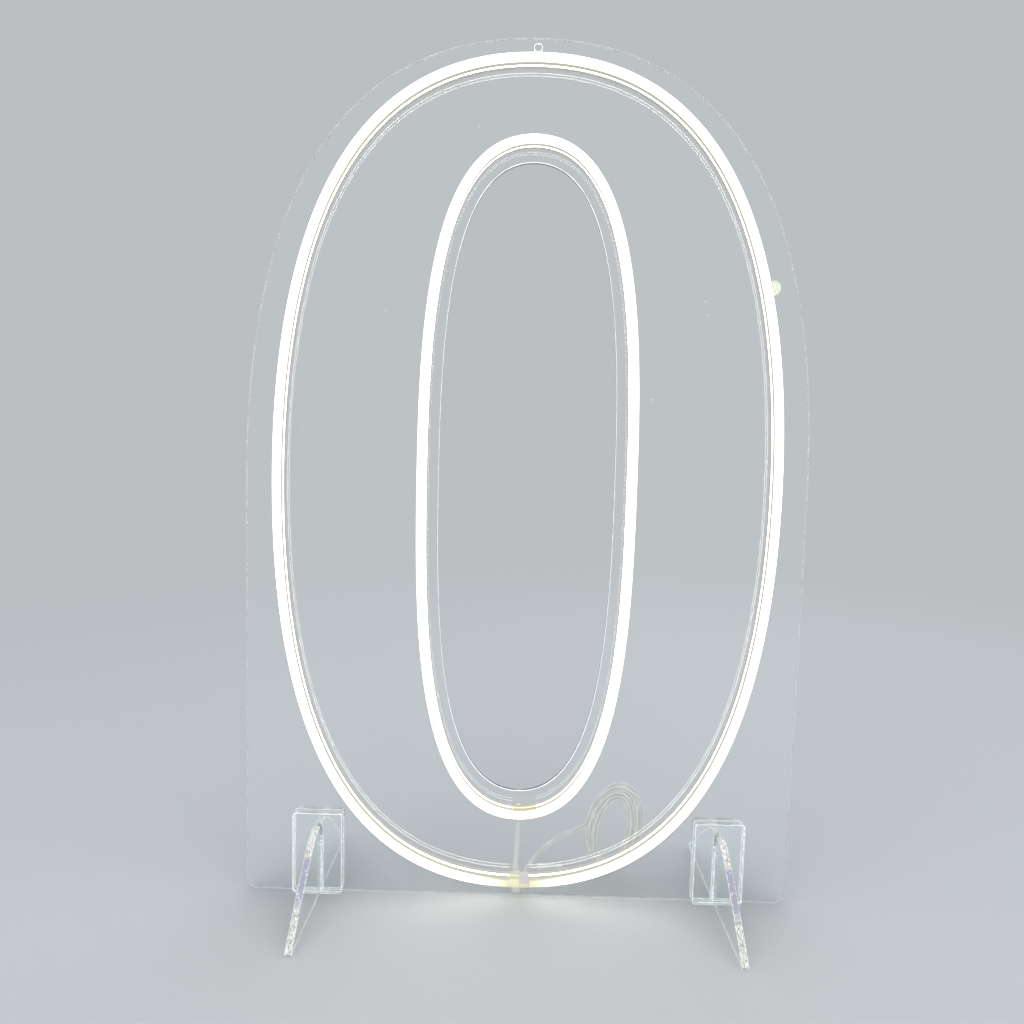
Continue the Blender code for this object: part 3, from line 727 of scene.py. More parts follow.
def diffuser_material(sizes, colours):
    """Milky silicone: blinding front, dim lip along the flank, weaker at the seam."""
    mat, tree, surface = new_material("milky_silicone_lit")
    # The dark olive lip colour is painted shade along the flank under the lit face.
    moulded_skin(
        tree, surface, scale=600.0, low=0.36, high=0.5, tint=colours.lip, shares=(0.76, 0.84)
    )
    front = flex_levels(sizes).front
    edge = sizes.diffuser_edge
    foot = (sizes.outer_seam, -front, sizes.foot_margin)
    seam = place_group(tree, "near_mask", (-1000, -600), Centre=foot, Start=0.009, End=0.08)["Mask"]
    seam_face, seam_rim, rim, flank = (light / GLARE for light in (0.55, 0.25, 1.5, 0.45))
    glow = blend(tree, seam, times(seam_face, CREAM), colours.glow, (-700, -600))
    bright = blend(tree, seam, times(seam_rim, CREAM), times(rim, colours.glow), (-700, -800))
    changes = (
        (DEPTH, front - 1.02 * edge, front - 0.82 * edge, bright),
        (DEPTH, front - 0.30 * edge, front - 0.10 * edge, glow),
    )
    shine(tree, surface, stepped(tree, times(flank, colours.lip), changes, (-1000, 0)), GLARE)
    return mat


def body_material(sizes, colours, label, peak):
    """White silicone: light leaks through the walls beside the tape and fades to the back."""
    mat, tree, surface = new_material("white_silicone_" + label)
    # The grey flank colour is painted shade on the white silicone.
    moulded_skin(
        tree, surface, scale=700.0, low=0.45, high=0.65, tint=colours.flank, shares=(0.94, 1.04)
    )
    front = flex_levels(sizes).body_front
    pocket = sizes.pocket_depth
    rear, lip = times(0.17 / peak, colours.glow), times(0.40 / peak, colours.lip)
    changes = (
        (DEPTH, front - 1.10 * pocket, front - 0.88 * pocket, colours.glow),
        (DEPTH, front - 0.55 * pocket, front - 0.35 * pocket, lip),
    )
    shine(tree, surface, stepped(tree, rear, changes, (-1000, 0)), peak)
    return mat


def clear_silicone_material(name, tint, low=0.25, high=0.5):
    """Yellowish clear silicone without its light."""
    mat, tree, surface = new_material(name, Transmission_Weight=0.2, IOR=SILICONE_IOR)
    moulded_skin(tree, surface, scale=500.0, low=low, high=high, tint=tint, shares=(0.9, 1.0))
    return mat, tree, surface


def inner_cap_material(sizes, colours):
    """End caps of the inner stroke: lit through by the flex, yellowish along the flank."""
    mat, tree, surface = clear_silicone_material("clear_silicone_inner", times(0.7, colours.glue))
    levels = flex_levels(sizes)
    front = levels.body_front
    pocket = sizes.pocket_depth
    peak = 2.0
    rear, warm = times(0.10 / peak, colours.cut_edge), times(0.26 / peak, colours.glue)
    band, rim = times(0.75 / peak, (1.0, 0.98, 0.72)), times(0.15 / peak, colours.glue)
    changes = (
        (DEPTH, levels.back, front - 1.3 * pocket, warm),
        (DEPTH, front - 1.1 * pocket, front - 0.8 * pocket, band),
        (DEPTH, front - 0.5 * pocket, front - 0.2 * pocket, rim),
        (DEPTH, levels.front - sizes.diffuser_edge, levels.front, colours.glow),
    )
    shine(tree, surface, stepped(tree, rear, changes, (-1300, 0)), peak)
    return mat


def outer_cap_material(sizes, colours):
    """End caps of the outer stroke, lit through by the flex: a painted cream glow on the left of
    the seam, a dim greyish painted glow with painted shade on the right.
    """
    mat, tree, surface = clear_silicone_material("clear_silicone_outer", times(0.45, colours.glue))
    levels = flex_levels(sizes)
    front = levels.body_front
    pocket = sizes.pocket_depth
    middle = sizes.foot_margin
    half = sizes.flex_width / 2
    # Painted light: the colours below are the glow and the shade that the flex puts into the caps,
    # shining at strength one.
    rear, line, olive = (0.38, 0.38, 0.32), (0.62, 0.62, 0.45), (0.36, 0.35, 0.22)
    flank = stepped(tree, rear, (
        (DEPTH, front - 1.2 * pocket, front - 0.7 * pocket, line),
        (DEPTH, front - 0.4 * pocket, front - 0.1 * pocket, olive),
    ), (-1300, 0))
    rim, low, high = (0.62, 0.57, 0.48), (0.52, 0.48, 0.29), (0.60, 0.58, 0.43)
    face = stepped(tree, rim, (
        (HEIGHT, middle - half, middle - 0.7 * half, low),
        (HEIGHT, middle - 0.6 * half, middle + 0.2 * half, high),
    ), (-1300, -400))
    ahead = place_mask(
        tree, DEPTH, levels.front - 1.5 * sizes.diffuser_edge, levels.front, (-1300, -800)
    )
    cream = blend(tree, ahead, flank, face, (-600, -200))
    amber, violet = (0.47, 0.43, 0.27), (0.31, 0.30, 0.42)
    dim = stepped(tree, amber, ((HEIGHT, middle, middle + 0.4 * half, violet),), (-1300, -1000))
    grey, warm = (0.36, 0.35, 0.39), (0.64, 0.61, 0.50)
    shade = place_mask(tree, DEPTH, front - 0.6 * pocket, levels.lit_back, (-1300, -1200))
    dim = blend(tree, shade, grey, dim, (-600, -900))
    foot = place_mask(tree, HEIGHT, middle - half, middle - 0.8 * half, (-1300, -1400))
    dim = blend(tree, foot, warm, dim, (-450, -900))
    seam, ease = sizes.outer_seam, 0.0008
    shown = stepped(tree, cream, ((ACROSS, seam - ease, seam + ease, dim),), (-600, -1200))
    shine(tree, surface, shown, 1.0)
    return mat


def gel_material(colours):
    """Clear gel dome lit by the flex in front of it."""
    mat, tree, surface = clear_silicone_material(
        "bumper_gel_lit", colours.gel, low=0.15, high=0.3
    )
    glow = place_group(tree, "fine_speckle", (-700, -200), Scale=300.0, Low=0.0, High=1.0)
    dark, light = times(0.36, colours.gel), times(0.52, colours.gel)
    shine(tree, surface, blend(tree, glow["Value"], dark, light, (-400, -200)), 1.0)
    return mat


def sheath_material(name, colours, cover, glow):
    """Clear soft sheath that lets its cores show and picks up some of the flex's light."""
    mat, tree, surface = new_material(name, Sheen_Weight=0.5, Alpha=cover)
    tone = moulded_skin(tree, surface, scale=300.0, low=0.10, high=0.26, tint=colours.cord)
    shine(tree, surface, tone, glow)
    return mat


def tape_material(sizes):
    """White light tape with yellow chips standing on it."""
    mat, tree, surface = new_material("tape_and_chips")
    moulded_skin(tree, surface, scale=900.0, low=0.35, high=0.5)
    tape, chip = (0.84, 0.84, 0.80), (0.88, 0.70, 0.22)
    tape_thickness, ease = 0.0004, 0.0001
    top = flex_levels(sizes).body_front - sizes.pocket_depth + sizes.seat_gap + tape_thickness
    shown = stepped(tree, tape, ((DEPTH, top, top + ease, chip),), (-700, 0))
    feed(tree, surface, "Base Color", shown)
    return mat


def plain_material(name, tint, low, high, metallic=0.0, scale=500.0):
    """Simple moulded or plated surface with uneven roughness and tone."""
    mat, tree, surface = new_material(name, Metallic=metallic)
    moulded_skin(tree, surface, scale, low, high, tint)
    return mat


ROUTE_POINTS = 40
TAIL_POINTS = 16


def smooth_route(points, start_direction, end_direction, step):
    """Even points on a smooth curve through the given ones."""
    knots = [Vector(p) for p in points]
    slopes = []
    for i, knot in enumerate(knots):
        if i == 0:
            slopes.append(start_direction.normalized() * (knots[1] - knot).length)
        elif i == len(knots) - 1:
            slopes.append(end_direction.normalized() * (knot - knots[i - 1]).length)
        else:
            slopes.append((knots[i + 1] - knots[i - 1]) / 2)
    dense = [knots[0]]
    for i in range(len(knots) - 1):
        near = knots[i] + slopes[i] / 3
        far = knots[i + 1] - slopes[i + 1] / 3
        dense += interpolate_bezier(knots[i], near, far, knots[i + 1], ROUTE_POINTS)[1:]
    return evenly(dense, step)


def evenly(dense, step):
    """Points at equal distances along a dense line."""
    lengths = [0.0]
    for first, second in zip(dense, dense[1:]):
        lengths.append(lengths[-1] + (second - first).length)
    count = max(1, round(lengths[-1] / step))
    points = [dense[0]]
    j = 0
    for i in range(1, count):
        wanted = lengths[-1] * i / count
        while lengths[j + 1] < wanted:
            j += 1
        rest = (wanted - lengths[j]) / (lengths[j + 1] - lengths[j])
        points.append(dense[j].lerp(dense[j + 1], rest))
    return points + [dense[-1]]


LEAD_RADIUS = 0.00175
LEAD_STRAIGHT = 0.0020
LEAD_ROUTE_SHARES = (
    (0.010, 0.031), (0.054, 0.088), (0.119, 0.161), (0.212, 0.275), (0.302, 0.375),
    (0.438, 0.480), (0.589, 0.564), (0.764, 0.641), (0.909, 0.734),
)
LEAD_ROUTE_BACKS = (0.0068, 0.0094, 0.0104, 0.0108, 0.0112, 0.0116, 0.0121, 0.0126, 0.0128)
COIL_TILT = math.radians(21)
COIL_LEAN = math.radians(3)
COIL_OFFSET = 0.0851
COIL_HALF_WIDTH = 0.0288
COIL_HALF_HEIGHT = 0.0590
COIL_WIDTH_STEP = 0.0054
COIL_HEIGHT_STEP = 0.0068
COIL_SIDE_STEP = 0.0006
COIL_DROP_STEP = 0.0012
COIL_LAYER_GAP = 0.0046
COIL_START_TURNS = 0.09
COIL_END_TURNS = 4.75
COIL_START_DEPTH = 0.45
COIL_CROSS_TURNS = 0.5
COIL_POINTS = 48
COIL_RUN_STEP = 0.001
COIL_FLOOR_GAP = 0.0002
TAIL_LENGTH = 0.030
TAIL_FORWARD = 0.013
SOCKET_RADIUS = 0.0055
FREE_STEP = 0.002
PATH_STEP = 0.0024
CORE_OFFSET = 0.40 * LEAD_RADIUS
CORE_RADIUS = 0.37 * LEAD_RADIUS
CORE_PITCH = 0.05
SHEATH_RESOLUTION = 4
CORE_RESOLUTION = 2


def coil_shape(turns):
    """Middle of the coiled lead about the coil's own middle after a number of turns."""
    middle = (COIL_START_TURNS + COIL_END_TURNS - COIL_START_DEPTH) / 2
    depth_in = min(turns - COIL_START_TURNS + COIL_START_DEPTH, COIL_END_TURNS - turns)
    depth_in = max(depth_in, 0.0)
    half_width = COIL_HALF_WIDTH - COIL_WIDTH_STEP * depth_in
    half_height = COIL_HALF_HEIGHT - COIL_HEIGHT_STEP * depth_in
    swing = max(-1.0, min(1.0, (turns - middle) / (COIL_CROSS_TURNS / 2)))
    layer = math.sin(swing * math.pi / 2) * COIL_LAYER_GAP / 2
    angle = math.tau * turns
    side = -half_width * math.cos(angle) - COIL_SIDE_STEP * depth_in
    rise = half_height * math.sin(angle) - COIL_DROP_STEP * depth_in
    across = side * math.cos(COIL_LEAN) + rise * math.sin(COIL_LEAN)
    along = rise * math.cos(COIL_LEAN) - side * math.sin(COIL_LEAN)
    sine = math.sin(COIL_TILT)
    cosine = math.cos(COIL_TILT)
    return Vector((across, layer * cosine - along * sine, along * cosine + layer * sine))


def coil_turns():
    """Turns at which the coil has its points."""
    total = COIL_END_TURNS - COIL_START_TURNS
    count = round(total * COIL_POINTS)
    return [COIL_START_TURNS + total * i / count for i in range(count + 1)]


def coil_seat(sizes):
    """Place of the coil's middle: it stands on the floor and leans on the board."""
    shape = [coil_shape(turns) for turns in coil_turns()]
    nearest = sizes.board_thickness / 2 + sizes.seat_gap + LEAD_RADIUS
    lowest = LEAD_RADIUS + COIL_FLOOR_GAP
    return Vector((
        sizes.outer_seam + sizes.lead_hole_offset + COIL_OFFSET,
        nearest - min(place.y for place in shape), lowest - min(place.z for place in shape),
    ))


def lead_path(sizes):
    """Middle line of the whole lead: from its hole to the coil, round it and on to the socket."""
    seat = coil_seat(sizes)
    coil = [coil_shape(turns) + seat for turns in coil_turns()]
    at_start = COIL_START_TURNS + COIL_RUN_STEP
    ahead = coil_shape(at_start + COIL_RUN_STEP)
    behind = coil_shape(at_start - COIL_RUN_STEP)
    start_run = (ahead - behind).normalized()
    joint = coil[0] - start_run * 2 * LEAD_RADIUS
    across = sizes.outer_seam + sizes.lead_hole_offset
    height = sizes.foot_margin
    face = sizes.board_thickness / 2
    route = [Vector((across, face + LEAD_STRAIGHT, height))]
    for (across_share, rise_share), back in zip(LEAD_ROUTE_SHARES, LEAD_ROUTE_BACKS):
        x = across + (joint.x - across) * across_share
        z = height + (joint.z - height) * rise_share
        route.append(Vector((x, face + back, z)))
    free = smooth_route(route + [joint], Vector((0, 1, 0)), start_run, FREE_STEP)
    run = Vector((-1, 0, 0))
    tail_start = coil[-1] + run * (2 * LEAD_RADIUS + sizes.seat_gap)
    tail_end = Vector((tail_start.x - TAIL_LENGTH, tail_start.y - TAIL_FORWARD, SOCKET_RADIUS))
    slope = run * TAIL_LENGTH / 3
    pulls = (tail_start + slope, tail_end - slope)
    tail = interpolate_bezier(tail_start, *pulls, tail_end, TAIL_POINTS)
    return [Vector((across, -face, height))] + free + coil + tail


def evened_path(sizes):
    """The lead's middle line in even short steps."""
    rough = lead_path(sizes)
    return rough[:1] + evenly(rough[1:], PATH_STEP)


def twisted_line(points, offset, pitch, phase):
    """Line that winds round another one: a core inside the sheath."""
    line = []
    side = None
    angle = phase
    for i, place in enumerate(points):
        run = (points[min(i + 1, len(points) - 1)] - points[max(i - 1, 0)]).normalized()
        if side is None:
            side = run.orthogonal()
        else:
            angle += math.tau * (place - points[i - 1]).length / pitch
        side = (side - run * side.dot(run)).normalized()
        line.append(place + offset * (side * math.cos(angle) + run.cross(side) * math.sin(angle)))
    return line


def cord_tube(name, points, radius, resolution):
    """Round cord as a bevelled curve with closed ends."""
    return new_curve(
        name, "3D", [points], bevel_depth=radius, bevel_resolution=resolution, use_fill_caps=True
    )


FLOOR_POINTS = 96
FLOOR_RADIUS = 14
FLOOR_RIM = 8
FLOOR_TINT = (0.55, 0.57, 0.59)
FADE_START = 0.5
FADE_END = 2.4
ROOM_TINT = (0.95, 0.97, 1.0)
ROOM_LIGHT = 0.78
LAMPS = (
    ("key_lamp", (-1.6, -1.8, 2.2), (0, 0, 0.35), 1.6, 22.0),
    ("fill_lamp", (1.9, -1.2, 1.4), (0, 0, 0.35), 1.8, 9.0),
    ("back_lamp", (1.0, 1.8, 1.7), (0, 0, 0.3), 1.6, 9.0),
)
CAMERA_PLACE = (-0.0089, -0.702, 0.42206)
CAMERA_DOWN = 0.0809
CAMERA_TURN = -0.0052
CAMERA_TIP = 0.0258
CAMERA_LENS = 27.07
CAMERA_NEAR = 0.01
SENSOR_WIDTH = 36


class LIGHT_OT_stage(bpy.types.Operator):
    """Floor, backdrop tone, lamps and camera"""

    bl_idname = "number_light.stage"
    bl_label = "Stage"

    def execute(self, context):
        colours = context.scene.light_colours
        make_floor(colours)
        make_world(colours)
        make_lamps()
        make_camera()
        context.scene.view_settings.view_transform = "Standard"
        return {"FINISHED"}


def make_floor(colours):
    """Wide pale floor that fades into the backdrop tone far away."""
    deselect()
    bpy.ops.mesh.primitive_circle_add(
        vertices=FLOOR_POINTS, radius=FLOOR_RADIUS, fill_type="NGON", location=(0, 0, 0)
    )
    floor = bpy.context.object
    floor.name = "floor"
    bpy.ops.object.mode_set(mode="EDIT")
    bpy.ops.mesh.select_all(action="SELECT")
    bpy.ops.mesh.inset(thickness=FLOOR_RIM)
    bpy.ops.object.mode_set(mode="OBJECT")
    mat, tree, surface = new_material(
        "pale_floor", Base_Color=FLOOR_TINT, Roughness=0.6, Specular_IOR_Level=0.2
    )
    where = add_node(tree, "ShaderNodeTexCoord", (-900, -200))
    reach = add_node(
        tree, "ShaderNodeVectorMath", (-700, -200), where.outputs["Object"], operation="LENGTH"
    )
    fade = add_node(
        tree, "ShaderNodeMapRange", (-500, -200), interpolation_type="SMOOTHSTEP",
        Value=reach.outputs["Value"], From_Min=FADE_START, From_Max=FADE_END,
    )
    plain = add_node(tree, "ShaderNodeEmission", (0, -300), colours.floor, 1.0)
    faded = add_node(
        tree, "ShaderNodeMixShader", (300, 0), fade.outputs["Result"],
        surface.outputs["BSDF"], plain.outputs["Emission"],
    )
    feed(tree, tree.nodes["Material Output"], "Surface", faded.outputs["Shader"])
    floor.data.materials.append(mat)


def make_world(colours):
    """Soft even light, with the backdrop tone where the camera looks past the object."""
    world = bpy.data.worlds.new("soft_studio")
    bpy.context.scene.world = world
    world.use_nodes = True
    tree = world.node_tree
    light = tree.nodes["Background"]
    feed(tree, light, "Color", ROOM_TINT)
    feed(tree, light, "Strength", ROOM_LIGHT)
    seen = add_node(tree, "ShaderNodeBackground", (0, -200), colours.floor)
    path = add_node(tree, "ShaderNodeLightPath", (-500, 300)).outputs
    straight = add_node(
        tree, "ShaderNodeMath", (-250, 300), path["Is Camera Ray"], path["Is Transmission Ray"],
        operation="MAXIMUM",
    )
    sharp = add_node(
        tree, "ShaderNodeMath", (0, 300), straight.outputs["Value"], path["Is Glossy Ray"],
        operation="MAXIMUM",
    )
    chosen = add_node(
        tree, "ShaderNodeMixShader", (250, 0), sharp.outputs["Value"],
        light.outputs["Background"], seen.outputs["Background"],
    )
    feed(tree, tree.nodes["World Output"], "Surface", chosen.outputs["Shader"])


def make_lamps():
    """Large soft lamps: two in front and one behind."""
    for name, place, aim, size, power in LAMPS:
        lamp = bpy.data.lights.new(name, "AREA")
        lamp.size = size
        lamp.energy = power
        obj = new_object(name, lamp)
        obj.location = place
        obj.rotation_euler = (Vector(aim) - Vector(place)).to_track_quat("-Z", "Y").to_euler()
        obj.visible_glossy = False
        obj.visible_transmission = False


def make_camera():
    """Camera where the photograph was taken from."""
    across = Vector((math.cos(CAMERA_TURN), -math.sin(CAMERA_TURN), 0))
    level = math.cos(CAMERA_DOWN)
    ahead = Vector((
        math.sin(CAMERA_TURN) * level, math.cos(CAMERA_TURN) * level, -math.sin(CAMERA_DOWN)
    ))
    above = across.cross(ahead)
    right = across * math.cos(CAMERA_TIP) + above * math.sin(CAMERA_TIP)
    up = above * math.cos(CAMERA_TIP) - across * math.sin(CAMERA_TIP)
    lens = bpy.data.cameras.new("camera")
    lens.sensor_width = SENSOR_WIDTH
    lens.lens = CAMERA_LENS
    lens.clip_start = CAMERA_NEAR
    camera = new_object("camera", lens)
    turned_view = Matrix((right, up, -ahead)).transposed().to_4x4()
    camera.matrix_world = Matrix.Translation(CAMERA_PLACE) @ turned_view
    bpy.context.scene.camera = camera


ARCH_POINTS = 90
COUNTER_POINTS = 80
HOLE_POINTS = 40
DIM_PARTS = ((-0.95, -0.55), (0.55, 0.95))


class LIGHT_OT_board(bpy.types.Operator):
    """Clear board with its arch, slots, counter and holes"""

    bl_idname = "number_light.board"
    bl_label = "Board"

    def execute(self, context):
        sizes = context.scene.light_sizes
        colours = context.scene.light_colours
        half_width = sizes.outer_half_width + sizes.side_margin
        arch = sizes.outer_half_height + sizes.top_margin
        middle = sizes.outer_half_height + sizes.foot_margin
        left_foot, right_foot = foot_places(sizes)
        radius = sizes.board_corner
        inset = half_width - radius
        outline = arc((-inset, radius), radius, 180, 270, CORNER_SEGMENTS)
        outline += slot_edge(sizes, left_foot) + slot_edge(sizes, right_foot)
        outline += arc((inset, radius), radius, 270, 360, CORNER_SEGMENTS)
        quarter = zero_quarter(
            half_width, arch, sizes.outer_top_share, sizes.outer_side_share, ARCH_POINTS
        )
        right = [p + Vector((0, middle)) for p in quarter]
        left = [Vector((-p.x, p.y)) for p in reversed(right[:-1])]
        outline += right + left
        in_width, in_height, in_middle = inner_measures(sizes)
        counter_height = in_height - (sizes.counter_top_inset + sizes.counter_foot_inset) / 2
        counter = zero_outline(
            in_width - sizes.counter_side_inset, counter_height,
            in_middle - in_height + sizes.counter_foot_inset + counter_height,
            sizes.inner_top_share, sizes.inner_side_share, COUNTER_POINTS,
        )
        holes = (
            (0, middle + arch - sizes.hanging_drop, sizes.hanging_radius),
            (sizes.link_across, in_middle - in_height, sizes.link_hole_radius),
            (sizes.outer_seam + sizes.lead_hole_offset, sizes.foot_margin, sizes.lead_hole_radius),
        )
        loops = [outline, counter]
        loops += [arc((x, z), r, 0, 360, HOLE_POINTS)[:-1] for x, z, r in holes]
        board = cut_sheet("clear_board", loops, sizes.board_thickness, sizes.polish)
        stand_up(board)
        side_heights = [[in_middle + part * in_height for part in ends] for ends in DIM_PARTS]
        mats = [
            acrylic_material(colours),
            cut_edge_material(
                "clear_acrylic_cut_edge", colours, SHEET_RIBS, clear=0.93, low=0.01, high=0.08
            ),
            cut_edge_material(
                "clear_acrylic_arris", colours, ARRIS_RIBS, clear=0.75, low=0.05, high=0.22
            ),
            cut_edge_material(
                "clear_acrylic_lit_arris", colours, ARRIS_RIBS, clear=0.4, low=0.5, high=1.4,
                dim_heights=side_heights,
            ),
        ]
        dress(board, mats, "sign", ["backboard"], angle=15)
        mark_cut_edges(board, SHEET_NORMAL, sizes)
        return {"FINISHED"}


class LIGHT_OT_strokes(bpy.types.Operator):
    """Lit flex of both strokes with its end caps"""

    bl_idname = "number_light.strokes"
    bl_label = "Strokes"

    def execute(self, context):
        sizes = context.scene.light_sizes
        colours = context.scene.light_colours
        lit = diffuser_material(sizes, colours)
        body = body_material(sizes, colours, "outer", OUTER_LEAK)
        caps = (sizes.outer_cap, sizes.outer_cap)
        mats = (lit, body, outer_cap_material(sizes, colours))
        make_stroke(sizes, "outer", outer_stroke(sizes), sizes.outer_seam, caps, mats)
        body = body_material(sizes, colours, "inner", INNER_LEAK)
        caps = (sizes.inner_left_cap, sizes.inner_right_cap)
        mats = (lit, body, inner_cap_material(sizes, colours))
        make_stroke(sizes, "inner", inner_stroke(sizes), -sizes.inner_seam, caps, mats)
        return {"FINISHED"}


def make_stroke(sizes, label, stroke, seam, caps, mats):
    """Diffuser, body and end caps of one stroke."""
    gap = sizes.seat_gap
    levels = flex_levels(sizes)
    left_cap, right_cap = caps
    start = seam + gap / 2 + right_cap + gap
    end = stroke.total + seam - gap / 2 - left_cap - gap
    flex = stroke.run(start, end, FLEX_STEP)
    face = rounded_section(sizes, levels.lit_back)
    whole = rounded_section(sizes, levels.back)
    right = stroke.run(seam + gap / 2, seam + gap / 2 + right_cap, CAP_STEP)
    left = stroke.run(end + gap, end + gap + left_cap, CAP_STEP)
    lit, body, cap = mats
    for name, run, section, mat, slot, node in (
        ("_lit_face", flex, face, lit, "milky_silicone", "_flex_diffuser"),
        ("_flex_trough", flex, trough_section(sizes), body, "white_silicone", "_flex_body"),
        ("_cap_right", right, whole, cap, "clear_silicone", "_end_cap_right"),
        ("_cap_left", left, whole, cap, "clear_silicone", "_end_cap_left"),
    ):
        piece = pull_section(label + name, run, section)
        stand_up(piece)
        dress(piece, [mat], "sign", [label + node])


class LIGHT_OT_tapes(bpy.types.Operator):
    """Light tapes inside the flex"""

    bl_idname = "number_light.tapes"
    bl_label = "Light tapes"

    def execute(self, context):
        coat(tape_material(context.scene.light_sizes), "outer_led_tape", "inner_led_tape")
        return {"FINISHED"}


def coat(mat, *names):
    """Give kept solids their material."""
    for name in names:
        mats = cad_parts[name].data.materials
        mats.clear()
        mats.append(mat)


class LIGHT_OT_feet(bpy.types.Operator):
    """Pads and fins of both feet"""

    bl_idname = "number_light.feet"
    bl_label = "Feet"

    def execute(self, context):
        sizes = context.scene.light_sizes
        colours = context.scene.light_colours
        face, cut_edge = (
            bpy.data.materials[name] for name in ("clear_acrylic_face", "clear_acrylic_cut_edge")
        )
        pad_edge = cut_edge_material(
            "pad_cut_edge", colours, SHEET_RIBS, clear=0.55, low=0.01, high=0.12
        )
        pad_arris = cut_edge_material(
            "pad_arris", colours, FOOT_ARRIS_RIBS, clear=0.5, low=0.15, high=0.8
        )
        fin_arris = cut_edge_material(
            "fin_arris", colours, FOOT_ARRIS_RIBS, clear=0.6, low=0.05, high=0.9
        )
        fin_mats = [face, cut_edge, fin_arris, fin_edge_material()]
        for label, across in zip(("left", "right"), foot_places(sizes)):
            make_pads(sizes, label, across, [face, pad_edge, pad_arris])
            make_fin(sizes, label, across, fin_mats)
        return {"FINISHED"}


def make_pads(sizes, label, across, mats):
    """Front and rear pad with their slot."""
    radius = sizes.pad_corner
    half = sizes.pad_width / 2 - radius
    top = sizes.pad_height - radius
    outline = arc((across - half, radius), radius, 180, 270, ROUND_SEGMENTS)
    outline += slot_edge(sizes, across)
    for side, height, start in ((half, radius, 270), (half, top, 0), (-half, top, 90)):
        outline += arc((across + side, height), radius, start, start + 90, ROUND_SEGMENTS)
    middle = sizes.board_thickness / 2 + sizes.seat_gap + sizes.pad_thickness / 2
    for side, back in (("front", -middle), ("rear", middle)):
        pad = cut_sheet(label + "_pad_" + side, [outline], sizes.pad_thickness, sizes.polish)
        stand_up(pad, back=back)
        dress(pad, mats, "sign", [label + "_foot_" + side + "_pad"], angle=15)
        mark_cut_edges(pad, SHEET_NORMAL)


FIN_TOE_END = 55
FIN_TOE_SEGMENTS = 10
FIN_EDGE_POINTS = 49


def make_fin(sizes, label, across, mats):
    """Clear blade with two toes and its notch."""
    notch = sizes.board_thickness / 2 + 2 * sizes.seat_gap + sizes.pad_thickness
    spring = sizes.slot_height - sizes.slot_half_width
    flat_end = notch + sizes.fin_flat
    radius = sizes.fin_toe
    toe = arc((sizes.fin_half_depth - radius, radius), radius, -90, FIN_TOE_END, FIN_TOE_SEGMENTS)
    edge = interpolate_bezier(
        Vector((*toe[-1], 0)), Vector((sizes.fin_flank_depth, sizes.fin_flank_height, 0)),
        Vector((flat_end + sizes.fin_shoulder, sizes.fin_height, 0)),
        Vector((flat_end, sizes.fin_height, 0)), FIN_EDGE_POINTS,
    )
    rear = toe + [Vector((p.x, p.y)) for p in edge[1:]]
    rear += [Vector((notch, sizes.fin_height)), Vector((notch, spring))]
    front = [Vector((-p.x, p.y)) for p in reversed(rear)]
    fin = cut_sheet(label + "_fin", [rear + front], sizes.fin_thickness, sizes.polish)
    stand_up(fin, across=across, turn=SIDEWAYS)
    dress(fin, mats, label + "_fin", [label + "_foot_fin"], angle=15)
    mark_cut_edges(fin, Vector(ACROSS))
    for face in fin.data.polygons:
        if face.material_index == WALL and abs(face.center.y) > notch and face.normal.z > 0:
            face.material_index = FIN_SLOPE


SOCKET_WHITE = (0.90, 0.90, 0.88)
NICKEL = (0.72, 0.71, 0.68)


class LIGHT_OT_lead(bpy.types.Operator):
    """Power lead, coiled behind the board, with its socket"""

    bl_idname = "number_light.lead"
    bl_label = "Power lead"

    def execute(self, context):
        sizes = context.scene.light_sizes
        colours = context.scene.light_colours
        make_socket(plain_material("socket_moulding", SOCKET_WHITE, low=0.35, high=0.5))
        make_lead(sizes, colours)
        nickel = plain_material("nickel_plate", NICKEL, low=0.18, high=0.32, metallic=1.0)
        coat(nickel, "dc_socket_shell", "dc_socket_pin")
        return {"FINISHED"}


class LIGHT_OT_link(bpy.types.Operator):
    """Flat cable between the strokes and its splice sleeve"""

    bl_idname = "number_light.link"
    bl_label = "Link cable"

    def execute(self, context):
        sizes = context.scene.light_sizes
        make_link(sizes)
        colours = context.scene.light_colours
        make_sleeve(sizes, sheath_material("clear_sleeve", colours, cover=0.6, glow=0.15))
        return {"FINISHED"}


DOME_STEPS = 12
DOME_RISE = 0.9
DOME_REACH = 0.5
DOME_SPIN_STEPS = 40


class LIGHT_OT_bumper(bpy.types.Operator):
    """Gel dome stuck on the back of the board"""

    bl_idname = "number_light.bumper"
    bl_label = "Bumper"

    def execute(self, context):
        sizes = context.scene.light_sizes
        radius = sizes.bumper_radius
        profile = [(0.0, 0.0), (0.0, radius - sizes.seat_gap)]
        for i in range(DOME_STEPS):
            angle = math.radians(90 * i / DOME_STEPS)
            rise = sizes.bumper_thickness * math.sin(angle) ** DOME_RISE
            profile.append((rise, radius * math.cos(angle) ** DOME_REACH))
        profile.append((sizes.bumper_thickness, 0.0))
        origin = Vector((
            sizes.outer_half_width - sizes.bumper_inset, sizes.board_thickness / 2 + sizes.seat_gap,
            sizes.outer_half_height + sizes.foot_margin + sizes.bumper_rise,
        ))
        dome = turned("gel_bumper", profile, origin, SHEET_NORMAL, DOME_SPIN_STEPS)
        gel = gel_material(context.scene.light_colours)
        dress(dome, [gel], "sign", ["back_bumper"])
        return {"FINISHED"}


